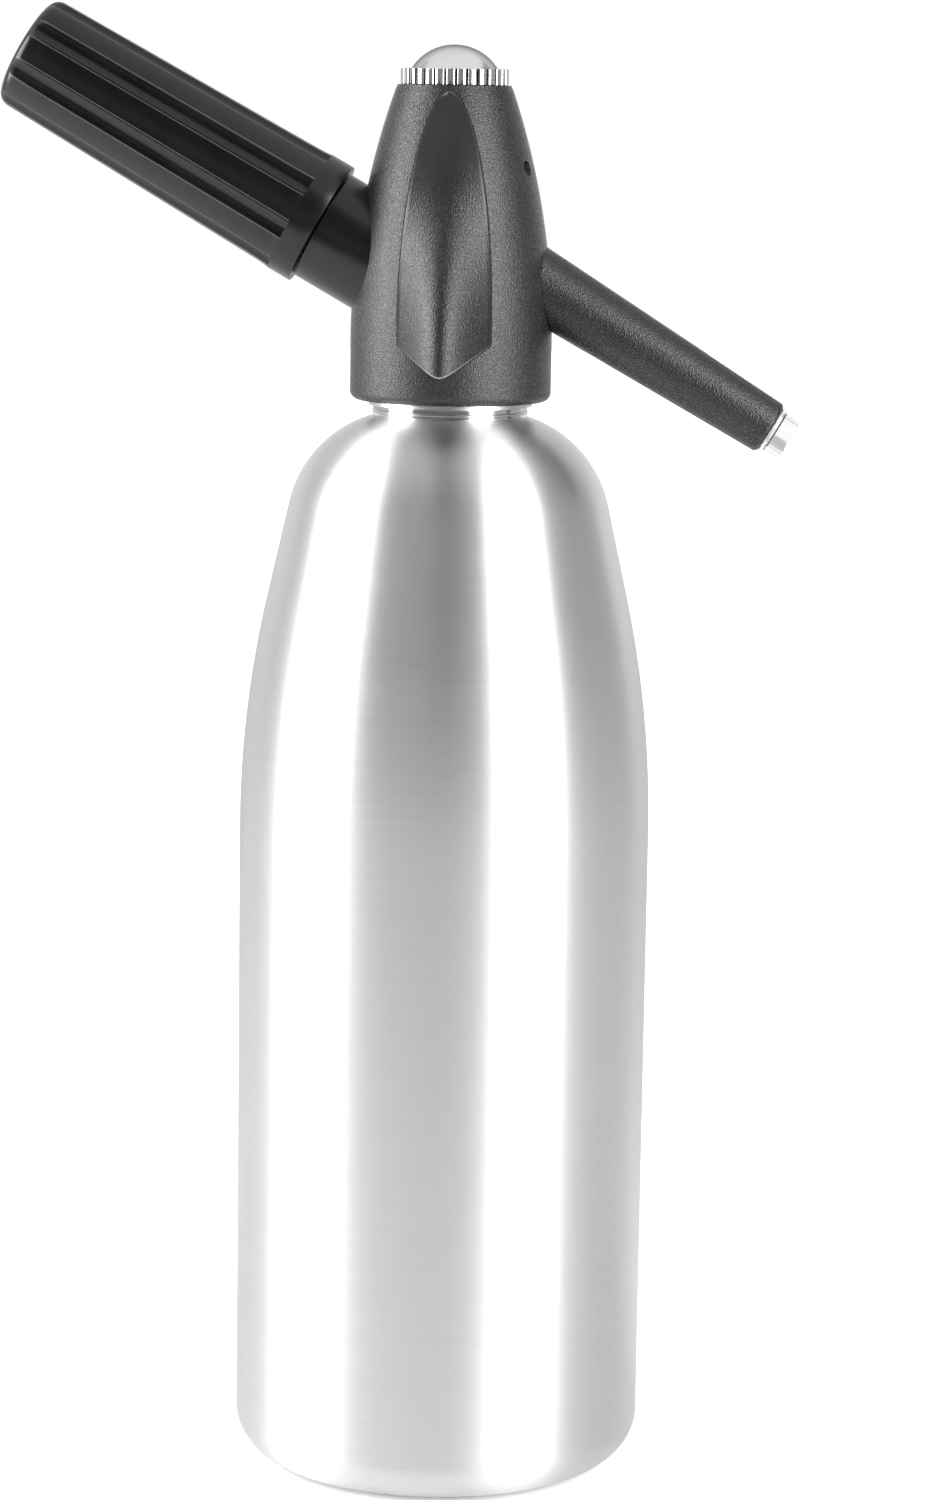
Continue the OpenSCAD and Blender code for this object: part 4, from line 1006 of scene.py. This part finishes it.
relief_place = Matrix.Translation((vent_middle.x, vent_middle.y, 0))
rubber_grain = 0.3 * mm
slot_finish = {
    "natural_plastic": moulded("natural_plastic", natural, 0.35, 0.5, Subsurface_Weight=0.1),
    "dip_plastic": moulded("dip_plastic", clouded, 0.25, 0.4, Subsurface_Weight=0.1),
    "seal_rubber": moulded("seal_rubber", seal, 0.55, 0.75, rubber_grain, 0.02 * mm),
    "gasket_rubber": moulded("gasket_rubber", gasket, 0.45, 0.6, rubber_grain, 0.015 * mm),
    "body_metal": turned_metal("satin_body_metal", satin_metal, 0.22, 0.36),
    "core_plastic": moulded("core_plastic", core, 0.35, 0.5),
    "brass": turned_metal("turned_brass", brass, 0.18, 0.32),
    "steel": turned_metal("bright_steel", steel, 0.15, 0.28),
    "spring_steel": turned_metal("spring_steel", steel, 0.2, 0.34),
    "guide_plastic": moulded("guide_plastic", white, 0.3, 0.42),
    "filter_bronze": sintered_bronze(),
    "charger_steel": turned_metal("charger_steel", steel, 0.24, 0.38, charger_axis),
}
node_finish = {
    "piercing_pin": turned_metal("pin_steel", steel, 0.15, 0.28, charger_axis),
    "relief_poppet": turned_metal("relief_brass", brass, 0.18, 0.32, relief_place),
    "relief_cap": turned_metal("relief_cap_brass", brass, 0.18, 0.32, relief_place),
}
dressed = 0
for part in frame["record"]["subparts"]:
    solid = frame["nodes"][part["node"]]
    look = node_finish.get(part["node"]) or slot_finish.get(part["material_slot"])
    if look and not solid.hide_render:
        wear(solid, look)
        dressed += 1
print("solids dressed:", dressed)

# %% [markdown]
# ## Springs
#
# A coil spring gets shorter when what rests on it moves. Here each spring is a copy of its
# solid's mesh in spring steel that stands in for the solid and moves with the head; it
# does not shorten. Shape keys could make it shorten, but they would need a driver.

# %% Springs
def spring_coil(name, solid):
    """A copy of the spring's solid in spring steel, which moves with the head in its place."""
    coil = add_object(name, frame["nodes"][solid].data.copy())
    wear(coil, slot_finish["spring_steel"])
    stand_for(coil, solid, "head")
    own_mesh(coil)


spring_coil("return_spring_coil", "return_spring")
spring_coil("relief_spring_coil", "relief_spring")

# %% [markdown]
# ## The camera
#
# The photograph was taken from slightly above and a little to the right, with a long
# lens. The camera's place came from fitting the rims of the base, the ring and the
# holder to it. A shifted lens would slide the picture, but a small turn of the camera
# does the same, and a small roll follows the photograph's tilt.

# %% Camera
camera_place = Vector((72.04, -915.32, 319.56)) * mm
lens_mm = 96.28
round_a, down_a, yaw_a, roll_a = (radians(a) for a in (4.5, 9.413, 0.432, 0.813))


def turned(first, second, angle):
    """Two axes at right angles, turned in their own plane: the first towards the second."""
    c, s = cos(angle), sin(angle)
    return first * c + second * s, second * c - first * s


right = Vector((cos(round_a), sin(round_a), 0))
ahead = Vector((-sin(round_a) * cos(down_a), cos(round_a) * cos(down_a), -sin(down_a)))
up = right.cross(ahead)
ahead, right = turned(ahead, right, yaw_a)
right, up = turned(right, up, roll_a)
camera = add_object("camera", bpy.data.cameras.new("camera"))
camera.data.lens, camera.data.clip_start, camera.data.clip_end = lens_mm, 0.01, 100
turn = Matrix((right, up, -ahead)).transposed().to_4x4()
camera.matrix_world = Matrix.Translation(camera_place) @ turn
bpy.context.scene.camera = camera
bpy.context.scene.view_settings.view_transform = "Standard"
print("camera at", [round(v, 3) for v in camera_place], "m, lens", lens_mm, "mm")

# %% [markdown]
# ## Floor, lamps and the room
#
# Metal shows the room, so the room matters more than the lamps. The bands on the bottle
# say what stood there: a tall soft light at the left, another at the front right, grey
# between them, and white behind. Area lights make the two soft lights, and ramps round
# the compass in the world give the rest. The camera itself sees white.

# %% Floor
def grey(level):
    return (level, level, level)


floor_r, floor_z, floor_under = 4.0, -0.1 * mm, -2 * mm
paper_shades, far_shades = (grey(0.75), grey(0.77)), (grey(0.07), grey(0.3))
paper_edge, dark_edge, glow_edge = (-0.85, -0.6), (-1.6, -0.95), (0.05, 0.4)


def studio_floor():
    """Pale paper that ends in the dark in front, and glows white away from the siphon."""
    rings = [(floor_r, floor_under)] + [(floor_r * k, floor_z) for k in (1, 0.5, 0.1, 0)]
    floor = lathe("studio_floor", rings + [(0.0, floor_under)], sections=128)
    f = finish("pale_floor", Roughness=0.9, Specular_IOR_Level=0.0)
    front = f.split(f.own_place())["Y"]
    paper = f.tint(f.noise(f.own_place(), 3.0, 3.0), *paper_shades)
    dark = f.tint(f.spread(front, 0.35, 0.65, *dark_edge), *far_shades)
    f.feed(f.skin, "Base Color", f.over(f.spread(front, 0, 1, *paper_edge), dark, paper))
    away = f.length(f.own_place())
    sees = f.node("LightPath").outputs["Is Camera Ray"]
    seen = f.calc("MULTIPLY", sees, f.spread(away, 0.45, 0.95, *glow_edge))
    glow = f.node("Emission", {"Color": (*grey(1), 1), "Strength": seen})
    both = f.node("AddShader", {0: f.skin.outputs[0], 1: glow.outputs[0]})
    f.feed(f.tree.nodes["Material Output"], "Surface", both.outputs[0])
    wear(floor, f.owner)
    print("floor radius", round(floor.dimensions.x / 2, 2), "m")


studio_floor()

# %% Soft lights
light_away, light_tall, light_foot = 0.95, 1.1, 0.02


def soft_light(name, compass, width, radiance):
    """A tall soft light, its compass angle counted from the camera's direction, right positive."""
    a = radians(compass) + round_a
    place = Vector((sin(a), -cos(a), 0)) * light_away
    data = bpy.data.lights.new(name, "AREA")
    data.shape, data.size, data.size_y = "RECTANGLE", width, light_tall
    data.energy = radiance * pi * width * light_tall
    light = add_object(name, data)
    light.location = place + Vector((0, 0, light_tall / 2 + light_foot))
    light.rotation_euler = (-place).to_track_quat("-Z", "Y").to_euler()
    light.visible_camera = False
    print(name, "stands", light_away, "m away")


soft_light("left_soft_light", -80.5, 0.70, 7.4)
soft_light("right_soft_light", 48.5, 0.57, 7.6)

# %% The room round the object
def compass_ramp(f, share, stops):
    """Grey levels round the compass; angles in degrees from the camera's direction."""
    ramp = f.node("ValToRGB", {"Fac": share})
    for k, (angle, level) in enumerate(stops):
        spot = ramp.color_ramp.elements[k] if k < 2 else ramp.color_ramp.elements.new(0.99)
        spot.position, spot.color = (angle + 180) / 360, (*grey(level), 1)
    return ramp.outputs["Color"]


def room(walls, belts, ceiling):
    """A world of grey walls, with belts that each take over between two heights."""
    bpy.context.scene.world = world = bpy.data.worlds.new("room")
    f = Nodes(world)
    part = f.split(f.own_place(turn=(0, 0, -round_a), source="Generated"))
    compass = f.calc("ARCTAN2", part["X"], f.calc("MULTIPLY", part["Y"], -1))
    share = f.spread(compass, 0, 1, -pi, pi)
    colour = compass_ramp(f, share, walls)
    for start, stop, stops in belts:
        taken = f.spread(part["Z"], 0, 1, start, stop)
        colour = f.over(taken, colour, compass_ramp(f, share, stops))
    above = f.spread(part["Z"], 0, 1, *ceiling_edge)
    colour = f.over(above, colour, (*grey(ceiling), 1))
    seen = f.node("Background", {"Color": colour})
    white = f.node("Background", {"Color": (*grey(1), 1)})
    rays = f.node("LightPath").outputs
    plain = f.calc("MAXIMUM", rays["Is Camera Ray"], rays["Is Transmission Ray"])
    pick = f.node("MixShader", {0: plain, 1: seen.outputs[0], 2: white.outputs[0]})
    f.node("OutputWorld", {"Surface": pick.outputs[0]})


walls = [(-180, 1.1), (-134, 1.0), (-131, 0.68), (-112, 0.66), (-108, 0.4), (-56, 0.25),
         (24, 0.25), (76, 0.30), (128, 0.36), (134, 1.0), (180, 1.1)]
upper_walls = [(-180, 0.7), (-136, 0.68), (-124, 0.5), (-108, 0.7), (-60, 0.7), (-50, 0.16),
               (-12, 0.14), (-6, 0.03), (8, 0.03), (14, 0.1), (22, 0.12), (32, 0.6), (66, 0.5),
               (78, 0.28), (114, 0.3), (128, 0.45), (138, 0.66), (180, 0.7)]
high_walls = [(-180, 0.78), (-20, 0.78), (-11, 0.1), (8, 0.1), (14, 0.78), (180, 0.78)]
ceiling_edge = (0.87, 0.93)
room(walls, [(0.06, 0.22, upper_walls), (0.66, 0.74, high_walls)], ceiling=0.78)
print("room set")

# %% End
print("done")
